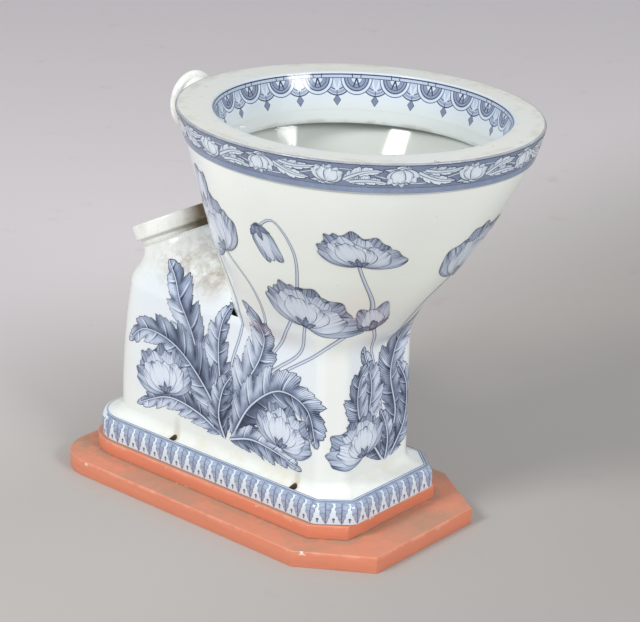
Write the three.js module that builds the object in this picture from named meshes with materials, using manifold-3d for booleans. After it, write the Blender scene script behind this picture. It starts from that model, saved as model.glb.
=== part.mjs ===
// A Victorian printed-ware closet pan on a stepped, painted display plinth.
// Millimetres, +Z up. The front of the pan faces -Y, x = 0 is its plane of symmetry, and the origin
// is the middle of the lower board's underside.
import * as THREE from 'three';
import { mergeVertices } from 'three/addons/utils/BufferGeometryUtils.js';
import Module from 'manifold-3d';

const wasm = await Module();
wasm.setup();

// Clearance left between two pieces that touch, and the overrun that makes a cut go right through.
const seam = 0.3;
const overrun = 1;

// Lower board of the plinth.
const lowerBoard = { halfWidth: 132, front: -226, rear: 226, chamferX: 50, chamferY: 77, rearRadius: 50 };
const lowerThickness = 18.8;

// Upper board of the plinth.
const upperBoard = { halfWidth: 99.5, front: -178, rear: 216, chamferX: 26, chamferY: 35, rearRadius: 56 };
const upperThickness = 16.3;

// Countersunk wood screws that hold the two boards together from below.
const screwX = 62;
const screwRearY = 160;
const screwFrontY = -120;
const screwShankRadius = 2.2;
const screwHeadRadius = 4.6;
const screwHeadHeight = 3.2;
const screwLength = 29;
const screwRecess = 1;
const screwSides = 12;

// Foot of the pan: a flange with a rolled edge and a cove that rises into the casing.
const footHalfWidth = 88.5;
const footFront = -175;
const footRear = 208;
const footChamferX = 25;
const footChamferY = 30;
const footRearRadius = 43;
const footCornerRadius = 7;
const footBandHeight = 21.5;
const footRoll = 4;
const footCoveRise = 13;
const fixingHoleRadius = 3.2;
const fixingHoleInset = 6.5;
const fixingHoleFrontY = -106;
const fixingHoleRearY = 77;
const fixingHoleSides = 12;

// Casing: the hollow pedestal under the bowl and over the trap.
const casingHalfWidth = 75;
const casingFront = -155;
const casingRear = 193;
const casingRearAtSplit = 177;
const casingChamferX = 25;
const casingChamferY = 20;
const casingCornerRadius = 9;
const casingRearRadius = 46;
const casingWall = 9;
const splitHeight = 222;

// Bowl: a cone of oval section, from the casing up to the rim.
const bowlFootHalfWidth = 69.5;
const bowlFootHalfLength = 89;
const bowlFootY = -70.3;
const bowlTopInsetX = 2.2;
const bowlTopInsetY = 2.3;
const bowlSwell = 36;
const bowlSway = -17;
const bowlFootRise = 8;
const bowlWall = 10;
const bowlFillet = 12;
const bowlRearEnd = 6;

// Flushing rim: a channel open below, luted together from an outer band, a flat top and an inner wall.
const rimHeight = 470;
const rimBandHeight = 34.4;
const rimHalfWidth = 178.1;
const rimHalfLength = 202.6;
const rimFlareX = 8.5;
const rimFlareY = 9.7;
const rimY = -115.7;
const rimEdgeRadius = 3.5;
const rimWall = 9;
const rimTopThickness = 7;
const rimTopWidthX = 32;
const rimTopWidthY = 40.2;
const openingShift = -4.5;
const lipDrop = 54;
const lipDraw = 9;
const lipTurn = 3;
const lipWall = 7;

// Trap: an S bend with a vent branch at its crown.
const trapRadius = 43;
const trapBore = 36;
const trapBend = 50;
const trapInletY = -74;
const trapInletDrop = 18;
const trapDipDrop = 77;
const trapCrownDrop = 73;
const trapEndGap = 1.6;
const spigotLength = 16;
const spigotWall = 6;

// Vent collar at the rear, leaning back.
const ventTilt = THREE.MathUtils.degToRad(26.5);
const ventY = 151;
const ventRise = 73;
const ventRingRadius = 54;
const ventRingHeight = 17.5;
const ventNeckRadius = 48.5;
const ventNeckHeight = 9;
const ventBore = 39.5;
const ventEdge = 1.5;

// Shoulder: how strongly it leaves the casing upwards, and how it meets the neck, inwards and upwards.
const shoulderRise = 55;
const shoulderDraw = 7;
const shoulderLift = 50;

// Flush inlet horn behind the rim.
const inletDrop = 37.4;
const inletReach = 43.1;
const inletBeadRadius = 33.5;
const inletBeadThickness = 5;
const inletNeckRadius = 27;
const inletBore = 21;
const inletBoreDepth = 36;

// Faces around an oval, along an arc, and along a tube.
const ovalSteps = 56;
const arcSteps = 5;
const sideSteps = 5;
const tubeSides = 16;
const tubeSteps = 27;
const roundSteps = 32;
const beadSteps = 6;

// Where lofted pieces have their rings, as shares of their height: closer together where they curve.
const casingLevels = [0, 0.35, 0.6, 0.8, 1];
const bowlLevels = [0, 0.04, 0.09, 0.14, 0.2, 0.3, 0.45, 0.65, 0.85, 1];
const liningLevels = [1, 0.8, 0.55, 0.3, 0.12];
const sumpLevels = [0.3, 0.6, 0.85];
const sumpDraw = 0.9;
const shoulderLevels = [0, 0.12, 0.25, 0.4, 0.55, 0.7, 0.85, 1];
const lipLevels = [0, 0.5, 1];

// Heights and outlines that several pieces share.
const rimBandHalfWidth = rimHalfWidth - rimFlareX;
const rimBandHalfLength = rimHalfLength - rimFlareY;
const openingHalfWidth = rimHalfWidth - rimTopWidthX;
const openingHalfLength = rimHalfLength - rimTopWidthY;
const openingY = rimY + openingShift;
const bowlTopHalfWidth = rimBandHalfWidth - bowlTopInsetX;
const bowlTopHalfLength = rimBandHalfLength - bowlTopInsetY;
const boardTop = lowerThickness + upperThickness;
const footBase = boardTop + seam;
const footTop = footBase + footBandHeight + footRoll + footCoveRise;
const casingBase = footTop + seam;
const rimBase = rimHeight - rimBandHeight;
const rimUnderTop = rimHeight - rimTopThickness;
const rimEdgeHeight = rimHeight - rimEdgeRadius;
const bowlTop = rimBase - seam;
const bowlFootHeight = splitHeight + bowlFootRise;
const trapInletHeight = splitHeight - trapInletDrop;
const trapDipHeight = splitHeight - trapDipDrop;
const trapCrownHeight = splitHeight - trapCrownDrop;
const trapEndHeight = footBase + trapEndGap;
const ventTopHeight = splitHeight + ventRise;
const inletHeight = rimHeight - inletDrop;
const inletY = rimY + rimHalfLength + inletReach;

const glaze = new THREE.MeshStandardMaterial({ color: 0xecebe2, roughness: 0.15, metalness: 0 });
const printedGlaze = new THREE.MeshStandardMaterial({ color: 0xc9d0dc, roughness: 0.15, metalness: 0 });
const stainedGlaze = new THREE.MeshStandardMaterial({ color: 0xe4dcc6, roughness: 0.3, metalness: 0 });
const bareWare = new THREE.MeshStandardMaterial({ color: 0xd8cfba, roughness: 0.7, metalness: 0 });
const paintedWood = new THREE.MeshStandardMaterial({ color: 0xd2775a, roughness: 0.7, metalness: 0 });
const steel = new THREE.MeshStandardMaterial({ color: 0x8f8a80, roughness: 0.5, metalness: 1 });

// The six corners of a flat outline with cut front corners, counterclockwise from the front right.
function cutCorners({ halfWidth, front, rear, chamferX, chamferY, rearRadius, cornerRadius = 1 }) {
  return [
    { x: halfWidth - chamferX, y: front, r: cornerRadius },
    { x: halfWidth, y: front + chamferY, r: cornerRadius },
    { x: halfWidth, y: rear, r: rearRadius },
    { x: -halfWidth, y: rear, r: rearRadius },
    { x: -halfWidth, y: front + chamferY, r: cornerRadius },
    { x: -(halfWidth - chamferX), y: front, r: cornerRadius },
  ];
}

// Move every side of a convex outline inwards by the same distance.
function insetCorners(corners, distance) {
  return corners.map((corner, i) => {
    const before = corners[(i + corners.length - 1) % corners.length];
    const after = corners[(i + 1) % corners.length];
    const inward = [before, corner].map((start, side) => {
      const end = side === 0 ? corner : after;
      const length = Math.hypot(end.x - start.x, end.y - start.y);
      return { x: -(end.y - start.y) / length, y: (end.x - start.x) / length };
    });
    const scale = distance / (1 + inward[0].x * inward[1].x + inward[0].y * inward[1].y);
    return {
      x: corner.x + scale * (inward[0].x + inward[1].x),
      y: corner.y + scale * (inward[0].y + inward[1].y),
      r: Math.max(corner.r - distance, 1),
    };
  });
}

// Points of an outline: an arc at every corner, and even steps along every side.
function outlinePoints(corners) {
  const arcs = corners.map((corner, i) => {
    const before = corners[(i + corners.length - 1) % corners.length];
    const after = corners[(i + 1) % corners.length];
    const incoming = new THREE.Vector2(corner.x - before.x, corner.y - before.y).normalize();
    const outgoing = new THREE.Vector2(after.x - corner.x, after.y - corner.y).normalize();
    const turn = Math.acos(THREE.MathUtils.clamp(incoming.dot(outgoing), -1, 1));
    const setback = corner.r * Math.tan(turn / 2);
    const start = new THREE.Vector2(corner.x, corner.y).addScaledVector(incoming, -setback);
    const centre = new THREE.Vector2(-incoming.y, incoming.x).multiplyScalar(corner.r).add(start);
    return Array.from({ length: arcSteps + 1 }, (_, k) => {
      const angle = (turn * k) / arcSteps;
      return start.clone().rotateAround(centre, angle);
    });
  });
  return arcs.flatMap((arc, i) => {
    const from = arc[arc.length - 1];
    const to = arcs[(i + 1) % arcs.length][0];
    const steps = Array.from({ length: sideSteps - 1 }, (_, k) => from.clone().lerp(to, (k + 1) / sideSteps));
    return [...arc, ...steps];
  });
}

function ringAt(points, height) {
  return points.map((point) => new THREE.Vector3(point.x, point.y, height));
}

function ovalRing(halfWidth, halfLength, centreY, height, steps = ovalSteps) {
  return Array.from({ length: steps }, (_, k) => {
    const angle = (2 * Math.PI * k) / steps;
    return new THREE.Vector3(halfWidth * Math.cos(angle), centreY + halfLength * Math.sin(angle), height);
  });
}

// Join rings of equally many points into a skin, and close its two ends with fans, or end to end.
function skinRings(rings, closedLoop = false) {
  const count = rings[0].length;
  const positions = rings.flat().flatMap((point) => [point.x, point.y, point.z]);
  const faces = [];
  const spans = closedLoop ? rings.length : rings.length - 1;
  for (let level = 0; level < spans; level += 1) {
    const low = level * count;
    const high = ((level + 1) % rings.length) * count;
    for (let k = 0; k < count; k += 1) {
      const next = (k + 1) % count;
      faces.push(low + k, low + next, high + next, low + k, high + next, high + k);
    }
  }
  if (!closedLoop) {
    [0, rings.length - 1].forEach((level) => {
      const hub = positions.length / 3;
      const middle = new THREE.Vector3();
      rings[level].forEach((point) => middle.addScaledVector(point, 1 / count));
      positions.push(middle.x, middle.y, middle.z);
      for (let k = 0; k < count; k += 1) {
        const edge = [level * count + k, level * count + ((k + 1) % count)];
        faces.push(hub, ...(level === 0 ? edge.reverse() : edge));
      }
    });
  }
  const geometry = new THREE.BufferGeometry();
  geometry.setAttribute('position', new THREE.Float32BufferAttribute(positions, 3));
  geometry.setIndex(faces);
  return geometry;
}

function toSolid(geometry) {
  const bare = geometry.clone();
  bare.deleteAttribute('normal');
  bare.deleteAttribute('uv');
  const merged = mergeVertices(bare, 1e-4);
  const mesh = new wasm.Mesh({
    numProp: 3,
    vertProperties: new Float32Array(merged.attributes.position.array),
    triVerts: new Uint32Array(merged.index.array),
  });
  return new wasm.Manifold(mesh);
}

function toGeometry(solid) {
  const mesh = solid.getMesh();
  const geometry = new THREE.BufferGeometry();
  geometry.setAttribute('position', new THREE.Float32BufferAttribute(mesh.vertProperties, 3));
  geometry.setIndex(new THREE.Uint32BufferAttribute(mesh.triVerts, 1));
  geometry.computeVertexNormals();
  return geometry;
}

function loft(rings) {
  return toSolid(skinRings(rings));
}

// A round bar or drill between two points.
function roundBar(from, to, radius, sides = roundSteps) {
  const axis = new THREE.Vector3().subVectors(to, from);
  const geometry = new THREE.CylinderGeometry(radius, radius, axis.length(), sides);
  const turn = new THREE.Quaternion().setFromUnitVectors(new THREE.Vector3(0, 1, 0), axis.clone().normalize());
  geometry.applyQuaternion(turn);
  geometry.translate(...from.clone().lerp(to, 0.5).toArray());
  return toSolid(geometry);
}

// Plinth boards and their screws.
const screwPlaces = [screwFrontY, screwRearY].flatMap((y) => [-screwX, screwX].map((x) => ({ x, y })));

function screwProfile(clearance) {
  const head = screwHeadRadius + clearance;
  const shank = screwShankRadius + clearance;
  const base = clearance > 0 ? -overrun : screwRecess;
  return [
    new THREE.Vector2(0, base),
    new THREE.Vector2(head, base),
    new THREE.Vector2(head, screwRecess + clearance / 2),
    new THREE.Vector2(shank, screwRecess + screwHeadHeight + clearance),
    new THREE.Vector2(shank, screwRecess + screwLength - shank + clearance),
    new THREE.Vector2(0, screwRecess + screwLength + clearance),
  ];
}

function screwGeometry(clearance) {
  const geometry = new THREE.LatheGeometry(screwProfile(clearance), screwSides);
  geometry.rotateX(Math.PI / 2);
  return geometry;
}

function board(outline, base, thickness) {
  const points = outlinePoints(cutCorners(outline));
  let solid = loft([ringAt(points, base), ringAt(points, base + thickness)]);
  screwPlaces.forEach(({ x, y }) => {
    const hole = screwGeometry(seam);
    hole.translate(x, y, 0);
    solid = solid.subtract(toSolid(hole));
  });
  return toGeometry(solid);
}

// Foot flange: band, rolled edge and cove outside, and a straight hollow inside.
const footOutline = {
  halfWidth: footHalfWidth,
  front: footFront,
  rear: footRear,
  chamferX: footChamferX,
  chamferY: footChamferY,
  rearRadius: footRearRadius,
  cornerRadius: footCornerRadius,
};

function casingOutline(rear) {
  return {
    halfWidth: casingHalfWidth,
    front: casingFront,
    rear,
    chamferX: casingChamferX,
    chamferY: casingChamferY,
    rearRadius: casingRearRadius,
    cornerRadius: casingCornerRadius,
  };
}

function blendRings(from, to, share) {
  return from.map((point, i) => point.clone().lerp(to[i], share));
}

function footGeometry() {
  const rollTop = footBase + footBandHeight + footRoll;
  const edge = cutCorners(footOutline);
  const band = [0, footBandHeight].map((rise) => ringAt(outlinePoints(edge), footBase + rise));
  const roll = [1, 2, 3].map((k) => {
    const angle = (Math.PI / 2) * (k / 3);
    const inset = footRoll * (1 - Math.cos(angle));
    const height = footBase + footBandHeight + footRoll * Math.sin(angle);
    return ringAt(outlinePoints(insetCorners(edge, inset)), height);
  });
  const shelf = outlinePoints(insetCorners(edge, footRoll));
  const neck = outlinePoints(cutCorners(casingOutline(casingRear)));
  const cove = [1, 2, 3, 4].map((k) => {
    const angle = (Math.PI / 2) * (k / 4);
    const ring = blendRings(ringAt(shelf, 0), ringAt(neck, 0), Math.sin(angle));
    const height = rollTop + footCoveRise * (1 - Math.cos(angle));
    return ring.map((point) => new THREE.Vector3(point.x, point.y, height));
  });
  const hollow = outlinePoints(insetCorners(cutCorners(casingOutline(casingRear)), casingWall));
  const hollowRings = [footBase - overrun, footTop + overrun].map((height) => ringAt(hollow, height));
  let solid = loft([...band, ...roll, ...cove]).subtract(loft(hollowRings));
  [fixingHoleFrontY, fixingHoleRearY].forEach((y) => {
    [-1, 1].forEach((side) => {
      const x = side * (footHalfWidth - fixingHoleInset);
      const hole = roundBar(
        new THREE.Vector3(x, y, footBase - overrun),
        new THREE.Vector3(x, y, footTop + overrun),
        fixingHoleRadius,
        fixingHoleSides,
      );
      solid = solid.subtract(hole);
    });
  });
  return toGeometry(solid);
}

// Casing: the outline's rear leans forward as it rises.
function casingRearAt(height) {
  const rise = THREE.MathUtils.clamp((height - casingBase) / (splitHeight - casingBase), 0, 1);
  return casingRear + (casingRearAtSplit - casingRear) * rise * rise;
}

function casingRing(height, inset) {
  const corners = insetCorners(cutCorners(casingOutline(casingRearAt(height))), inset);
  return ringAt(outlinePoints(corners), height);
}

function casingGeometry() {
  const levels = casingLevels.map((share) => THREE.MathUtils.lerp(casingBase, splitHeight, share));
  const outer = loft(levels.map((height) => casingRing(height, 0)));
  const inner = loft([
    casingRing(casingBase, casingWall).map((point) => point.setZ(casingBase - overrun)),
    ...levels.slice(1, -1).map((height) => casingRing(height, casingWall)),
    casingRing(splitHeight, casingWall).map((point) => point.setZ(splitHeight + overrun)),
  ]);
  return toGeometry(outer.subtract(inner));
}

// Bowl: at each height the wider of the casing's outline and the oval cone, with a soft change.
function coneAt(height) {
  const share = (height - bowlFootHeight) / (bowlTop - bowlFootHeight);
  const bulge = share * (1 - share);
  return {
    halfWidth: THREE.MathUtils.lerp(bowlFootHalfWidth, bowlTopHalfWidth, share) + bowlSwell * bulge,
    halfLength: THREE.MathUtils.lerp(bowlFootHalfLength, bowlTopHalfLength, share) + bowlSwell * bulge,
    y: THREE.MathUtils.lerp(bowlFootY, rimY, share) + bowlSway * bulge,
  };
}

function reachOf(points, centreY, angle) {
  const ray = new THREE.Vector2(Math.cos(angle), Math.sin(angle));
  let reach = 0;
  points.forEach((point, i) => {
    const a = new THREE.Vector2(point.x, point.y - centreY);
    const next = points[(i + 1) % points.length];
    const b = new THREE.Vector2(next.x, next.y - centreY);
    const fromA = ray.cross(a);
    const fromB = ray.cross(b);
    if (fromA <= 0 && fromB > 0) {
      reach = a.lerp(b, fromA / (fromA - fromB)).dot(ray);
    }
  });
  return reach;
}

function bowlRing(height, fillet) {
  const cone = coneAt(height);
  const casing = outlinePoints(cutCorners(casingOutline(bowlRearEnd)));
  return Array.from({ length: ovalSteps }, (_, k) => {
    const angle = (2 * Math.PI * k) / ovalSteps;
    const oval = 1 / Math.hypot(Math.cos(angle) / cone.halfWidth, Math.sin(angle) / cone.halfLength);
    const flat = reachOf(casing, cone.y, angle);
    const reach = (oval + flat + Math.hypot(oval - flat, fillet)) / 2;
    return new THREE.Vector3(reach * Math.cos(angle), cone.y + reach * Math.sin(angle), height);
  });
}

function bowlOuter(base) {
  const rings = bowlLevels.map((share) => {
    const height = THREE.MathUtils.lerp(splitHeight, bowlTop, share);
    const fillet = bowlFillet * Math.min(1, share / bowlLevels[2]) * (1 - share);
    return bowlRing(height, fillet);
  });
  rings[0].forEach((point) => point.setZ(base));
  return loft(rings);
}

// Inside of the bowl: the cone less its wall, drawn in below to the round spigot.
function bowlInner(wall, spigotRadius, top) {
  const cones = liningLevels.map((share) => {
    const height = THREE.MathUtils.lerp(bowlFootHeight, bowlTop, share);
    const cone = coneAt(height);
    return ovalRing(cone.halfWidth - wall, cone.halfLength - wall, cone.y, height);
  });
  cones.unshift(cones[0].map((point) => point.clone().setZ(top)));
  const throat = ovalRing(spigotRadius, spigotRadius, trapInletY, trapInletHeight + spigotLength / 4);
  const lowest = cones[cones.length - 1];
  const sump = sumpLevels.map((share) => {
    const height = THREE.MathUtils.lerp(lowest[0].z, throat[0].z, share);
    return blendRings(lowest, throat, share ** sumpDraw).map((point) => point.setZ(height));
  });
  const end = throat.map((point) => point.clone().setZ(trapInletHeight - spigotLength));
  return [...cones, ...sump, throat, end].reverse();
}

const spigotRadius = trapBore * Math.cos(Math.PI / tubeSides) - seam;

function bowlGeometry() {
  const shell = bowlOuter(splitHeight + seam);
  const sump = loft(bowlInner(bowlWall - spigotWall, spigotRadius, bowlTop));
  const hollowRings = bowlInner(bowlWall, spigotRadius - spigotWall, bowlTop + overrun);
  hollowRings[0].forEach((point) => point.setZ(point.z - overrun));
  const casingHollow = loft([
    casingRing(splitHeight, casingWall + seam).map((point) => point.setZ(trapInletHeight - 2 * spigotLength)),
    casingRing(splitHeight, casingWall + seam).map((point) => point.setZ(splitHeight + seam + overrun)),
  ]);
  const below = sump.intersect(casingHollow);
  return toGeometry(shell.add(below).subtract(loft(hollowRings)).subtract(inletTube(inletBore)));
}

// The rim's outer face leans out from the band's foot up to its rolled edge.
function rimOutside(height, inset = 0) {
  const share = (height - rimBase) / (rimEdgeHeight - rimBase);
  const halfWidth = THREE.MathUtils.lerp(rimBandHalfWidth, rimHalfWidth, share) - inset;
  const halfLength = THREE.MathUtils.lerp(rimBandHalfLength, rimHalfLength, share) - inset;
  return ovalRing(halfWidth, halfLength, rimY, height);
}

// The opening draws in from its rolled edge down to the lip.
function rimInside(height, outset = 0) {
  const share = (rimEdgeHeight - height) / (lipDrop - rimEdgeRadius);
  const draw = lipDraw * Math.sin((Math.PI / 2) * share) + lipTurn * share - outset;
  return ovalRing(openingHalfWidth - draw, openingHalfLength - draw, openingY, height);
}

function rimBandGeometry() {
  const top = rimUnderTop - seam;
  const rings = [rimOutside(rimBase), rimOutside(top), rimOutside(top, rimWall), rimOutside(rimBase, rimWall)];
  return toGeometry(toSolid(skinRings(rings, true)).subtract(inletTube(inletNeckRadius + seam)));
}

function rimTopGeometry() {
  const quarter = rimEdgeRadius * (1 - Math.SQRT1_2);
  const rings = [
    rimOutside(rimUnderTop),
    rimOutside(rimEdgeHeight),
    ovalRing(rimHalfWidth - quarter, rimHalfLength - quarter, rimY, rimHeight - quarter),
    ovalRing(rimHalfWidth - rimEdgeRadius, rimHalfLength - rimEdgeRadius, rimY, rimHeight),
    ovalRing(openingHalfWidth + rimEdgeRadius, openingHalfLength + rimEdgeRadius, openingY, rimHeight),
    rimInside(rimEdgeHeight),
    rimInside(rimUnderTop),
  ];
  return toGeometry(toSolid(skinRings(rings, true)));
}

function rimWallGeometry() {
  const top = rimUnderTop - seam;
  const heights = lipLevels.map((share) => THREE.MathUtils.lerp(top, rimHeight - lipDrop, share));
  const inside = heights.map((height) => rimInside(height));
  const outside = heights.map((height) => rimInside(height, lipWall)).reverse();
  return toGeometry(toSolid(skinRings([...inside, ...outside], true)));
}

// Trap: two half-round bends in one plane, with a straight inlet and a straight fall.
function trapPath(from, to) {
  const dipY = trapInletY + trapBend;
  const crownY = dipY + 2 * trapBend;
  const path = new THREE.CurvePath();
  const place = (y, z) => new THREE.Vector3(0, y, z);
  const arc = (centreY, centreZ, sign) => {
    const bend = new THREE.Curve();
    bend.getPoint = (t, target = new THREE.Vector3()) => {
      const angle = Math.PI * t;
      return target.set(0, centreY - trapBend * Math.cos(angle), centreZ + sign * trapBend * Math.sin(angle));
    };
    return bend;
  };
  path.add(new THREE.LineCurve3(place(trapInletY, from), place(trapInletY, trapDipHeight)));
  path.add(arc(dipY, trapDipHeight, -1));
  path.add(new THREE.LineCurve3(place(dipY + trapBend, trapDipHeight), place(dipY + trapBend, trapCrownHeight)));
  path.add(arc(crownY, trapCrownHeight, 1));
  path.add(new THREE.LineCurve3(place(crownY + trapBend, trapCrownHeight), place(crownY + trapBend, to)));
  return path;
}

function tubeAlong(path, radius) {
  const section = new THREE.Shape().absarc(0, 0, radius, 0, 2 * Math.PI);
  const options = { steps: tubeSteps, curveSegments: tubeSides / 2, extrudePath: path, bevelEnabled: false };
  return toSolid(new THREE.ExtrudeGeometry(section, options));
}

const ventAxis = new THREE.Vector3(0, Math.sin(ventTilt), Math.cos(ventTilt));
const ventTop = new THREE.Vector3(0, ventY, ventTopHeight);

function onVentAxis(drop) {
  return ventTop.clone().addScaledVector(ventAxis, -drop);
}

const neckDrop = ventRingHeight + ventNeckHeight;

function trapGeometry() {
  const crown = onVentAxis((ventTopHeight - trapCrownHeight - trapBend / 2) / ventAxis.z);
  const branchEnd = onVentAxis(neckDrop - ventNeckHeight / 2);
  const branchRadius = ventBore - seam;
  const tube = tubeAlong(trapPath(trapInletHeight, trapEndHeight), trapRadius);
  const branch = roundBar(crown, branchEnd, branchRadius);
  const bore = tubeAlong(trapPath(trapInletHeight + overrun, trapEndHeight - overrun), trapBore);
  const branchBore = roundBar(crown, branchEnd.clone().addScaledVector(ventAxis, overrun), branchRadius - spigotWall);
  return toGeometry(tube.add(branch).subtract(bore).subtract(branchBore));
}

// Trap casing: a shoulder from the casing's outline, standing upright, to the leaning neck.
function shoulderRings(inset, neckRadius, base) {
  const start = casingRing(splitHeight, inset);
  const centre = onVentAxis(neckDrop);
  const front = casingRearAt(splitHeight) / 2;
  const across = new THREE.Vector3(0, ventAxis.z, -ventAxis.y);
  return shoulderLevels.map((t) => {
    const h00 = 2 * t ** 3 - 3 * t ** 2 + 1;
    const h10 = t ** 3 - 2 * t ** 2 + t;
    const h01 = -2 * t ** 3 + 3 * t ** 2;
    const h11 = t ** 3 - t ** 2;
    return start.map((point) => {
      const squeezed = point.clone();
      squeezed.y = Math.max(point.y, -casingHalfWidth + inset);
      const angle = Math.atan2(squeezed.y - front, squeezed.x);
      const outward = new THREE.Vector3(Math.cos(angle), 0, 0).addScaledVector(across, Math.sin(angle));
      const end = centre.clone().addScaledVector(outward, neckRadius);
      return squeezed.multiplyScalar(h00)
        .add(new THREE.Vector3(0, 0, shoulderRise * h10))
        .addScaledVector(end, h01)
        .addScaledVector(outward, -shoulderDraw * h11)
        .addScaledVector(ventAxis, shoulderLift * h11);
    });
  }).map((ring, i) => (i === 0 ? ring.map((point) => point.setZ(base)) : ring));
}

function trapCasingGeometry() {
  const outer = loft(shoulderRings(0, ventNeckRadius, splitHeight + seam));
  const inner = loft(shoulderRings(casingWall, ventBore, splitHeight - overrun));
  const drill = roundBar(onVentAxis(neckDrop + ventRingHeight), onVentAxis(0), ventBore);
  const bowl = bowlOuter(splitHeight - overrun);
  const grown = bowl.scale([1 + seam / casingHalfWidth, 1, 1]).translate([0, seam, 0]).add(bowl);
  return toGeometry(outer.subtract(inner).subtract(drill).subtract(grown));
}

// Vent collar: neck and ring turned as one, then leaned back.
function ventCollarGeometry() {
  const profile = [
    [ventBore, seam],
    [ventNeckRadius, seam],
    [ventNeckRadius, ventNeckHeight],
    [ventRingRadius - ventEdge, ventNeckHeight],
    [ventRingRadius, ventNeckHeight + ventEdge],
    [ventRingRadius, neckDrop - ventEdge],
    [ventRingRadius - ventEdge, neckDrop],
    [ventBore + ventEdge, neckDrop],
    [ventBore, neckDrop - ventEdge],
    [ventBore, seam],
  ].map(([radius, height]) => new THREE.Vector2(radius, height));
  const geometry = new THREE.LatheGeometry(profile, roundSteps);
  geometry.rotateX(Math.PI / 2 - ventTilt);
  geometry.translate(...onVentAxis(neckDrop).toArray());
  return geometry;
}

// Flush inlet: a short horn with a rolled bead. Its neck goes through the rim's band and stops at the bowl.
function inletTube(radius) {
  const from = new THREE.Vector3(0, rimY + rimHalfLength - inletBoreDepth, inletHeight);
  return roundBar(from, new THREE.Vector3(0, inletY + overrun, inletHeight), radius);
}

function inletGeometry() {
  const root = rimY + rimBandHalfLength - rimWall - inletBeadThickness;
  const bead = inletY - inletBeadThickness;
  const profile = [
    new THREE.Vector2(inletBore, root),
    new THREE.Vector2(inletNeckRadius, root),
    new THREE.Vector2(inletNeckRadius, bead - inletBeadThickness),
  ];
  for (let k = 0; k <= beadSteps; k += 1) {
    const angle = -Math.PI / 2 + (Math.PI * k) / beadSteps;
    const reach = inletBeadRadius - inletBeadThickness;
    profile.push(new THREE.Vector2(
      reach + inletBeadThickness * Math.cos(angle),
      bead + inletBeadThickness * Math.sin(angle),
    ));
  }
  profile.push(new THREE.Vector2(inletBore, inletY - 1), new THREE.Vector2(inletBore, root));
  const horn = toSolid(new THREE.LatheGeometry(profile, roundSteps).translate(0, 0, inletHeight));
  const channel = loft([
    rimOutside(rimBase - overrun, rimWall),
    rimOutside(rimHeight + overrun, rimWall),
  ]);
  const top = loft([rimUnderTop - seam, rimEdgeHeight, rimHeight + overrun].map((z) => rimOutside(z, -seam)));
  const bowl = bowlOuter(splitHeight);
  const clearOfBowl = bowl.translate([0, seam, 0]).add(bowl.translate([0, 0, seam]));
  return toGeometry(horn.subtract(channel).subtract(top).subtract(clearOfBowl));
}

function sub(name, geometry, material) {
  const mesh = new THREE.Mesh(geometry, material);
  mesh.name = name;
  return mesh;
}

const closet = new THREE.Group();

const plinth = new THREE.Group();
plinth.add(sub('plinth_lower_board', board(lowerBoard, 0, lowerThickness), paintedWood));
plinth.add(sub('plinth_upper_board', board(upperBoard, lowerThickness + seam, upperThickness - seam), paintedWood));
screwPlaces.forEach(({ x, y }, i) => {
  const screw = sub(`plinth_screw_${i + 1}`, screwGeometry(0), steel);
  screw.position.set(x, y, 0);
  plinth.add(screw);
});
closet.add(plinth);

const pan = new THREE.Group();
pan.add(sub('foot', footGeometry(), stainedGlaze));
pan.add(sub('pedestal', casingGeometry(), glaze));
pan.add(sub('trap_casing', trapCasingGeometry(), stainedGlaze));
pan.add(sub('bowl', bowlGeometry(), glaze));
pan.add(sub('rim_band', rimBandGeometry(), printedGlaze));
pan.add(sub('rim_top_ring', rimTopGeometry(), glaze));
pan.add(sub('rim_inner_wall', rimWallGeometry(), printedGlaze));
pan.add(sub('trap', trapGeometry(), bareWare));
pan.add(sub('vent_collar', ventCollarGeometry(), stainedGlaze));
pan.add(sub('flush_inlet', inletGeometry(), glaze));
closet.add(pan);

export default closet;
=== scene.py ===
"""A printed-ware closet pan of the 1890s on a stepped, painted plinth: its surfaces, prints and finishes."""

import bpy
import numpy as np
from mathutils import Matrix


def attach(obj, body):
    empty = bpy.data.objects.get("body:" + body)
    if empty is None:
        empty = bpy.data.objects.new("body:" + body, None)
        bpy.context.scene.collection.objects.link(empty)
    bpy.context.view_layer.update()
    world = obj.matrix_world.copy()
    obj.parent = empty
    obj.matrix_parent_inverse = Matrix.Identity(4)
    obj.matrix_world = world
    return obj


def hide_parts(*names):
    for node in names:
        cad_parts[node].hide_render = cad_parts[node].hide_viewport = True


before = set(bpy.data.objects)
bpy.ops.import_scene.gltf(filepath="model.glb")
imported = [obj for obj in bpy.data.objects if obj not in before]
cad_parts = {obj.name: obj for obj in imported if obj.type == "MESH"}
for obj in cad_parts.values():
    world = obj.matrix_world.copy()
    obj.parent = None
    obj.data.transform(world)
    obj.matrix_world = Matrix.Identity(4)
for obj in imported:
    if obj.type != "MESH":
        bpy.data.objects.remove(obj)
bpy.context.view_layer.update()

# Lengths below are millimetres, and meshes are written in metres.
MM = 0.001
TURN = 2 * np.pi
QUARTER = np.pi / 2

# Camera, found from the photograph's own perspective, and the lamps' aim in metres.
CAMERA_PLACE = (-1653.1, -1497.3, 1080.2)
CAMERA_BACK = (-0.7025, -0.6129, 0.3616)
CAMERA_ROLL = 1.1
SENSOR_WIDTH = 36.0
FOCAL_LENGTH = 120.9
CAMERA_SHIFT_X = 0.0142
FLOOR_SIZE = 9.0
LAMP_AIM = (0, -0.1, 0.3)

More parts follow.
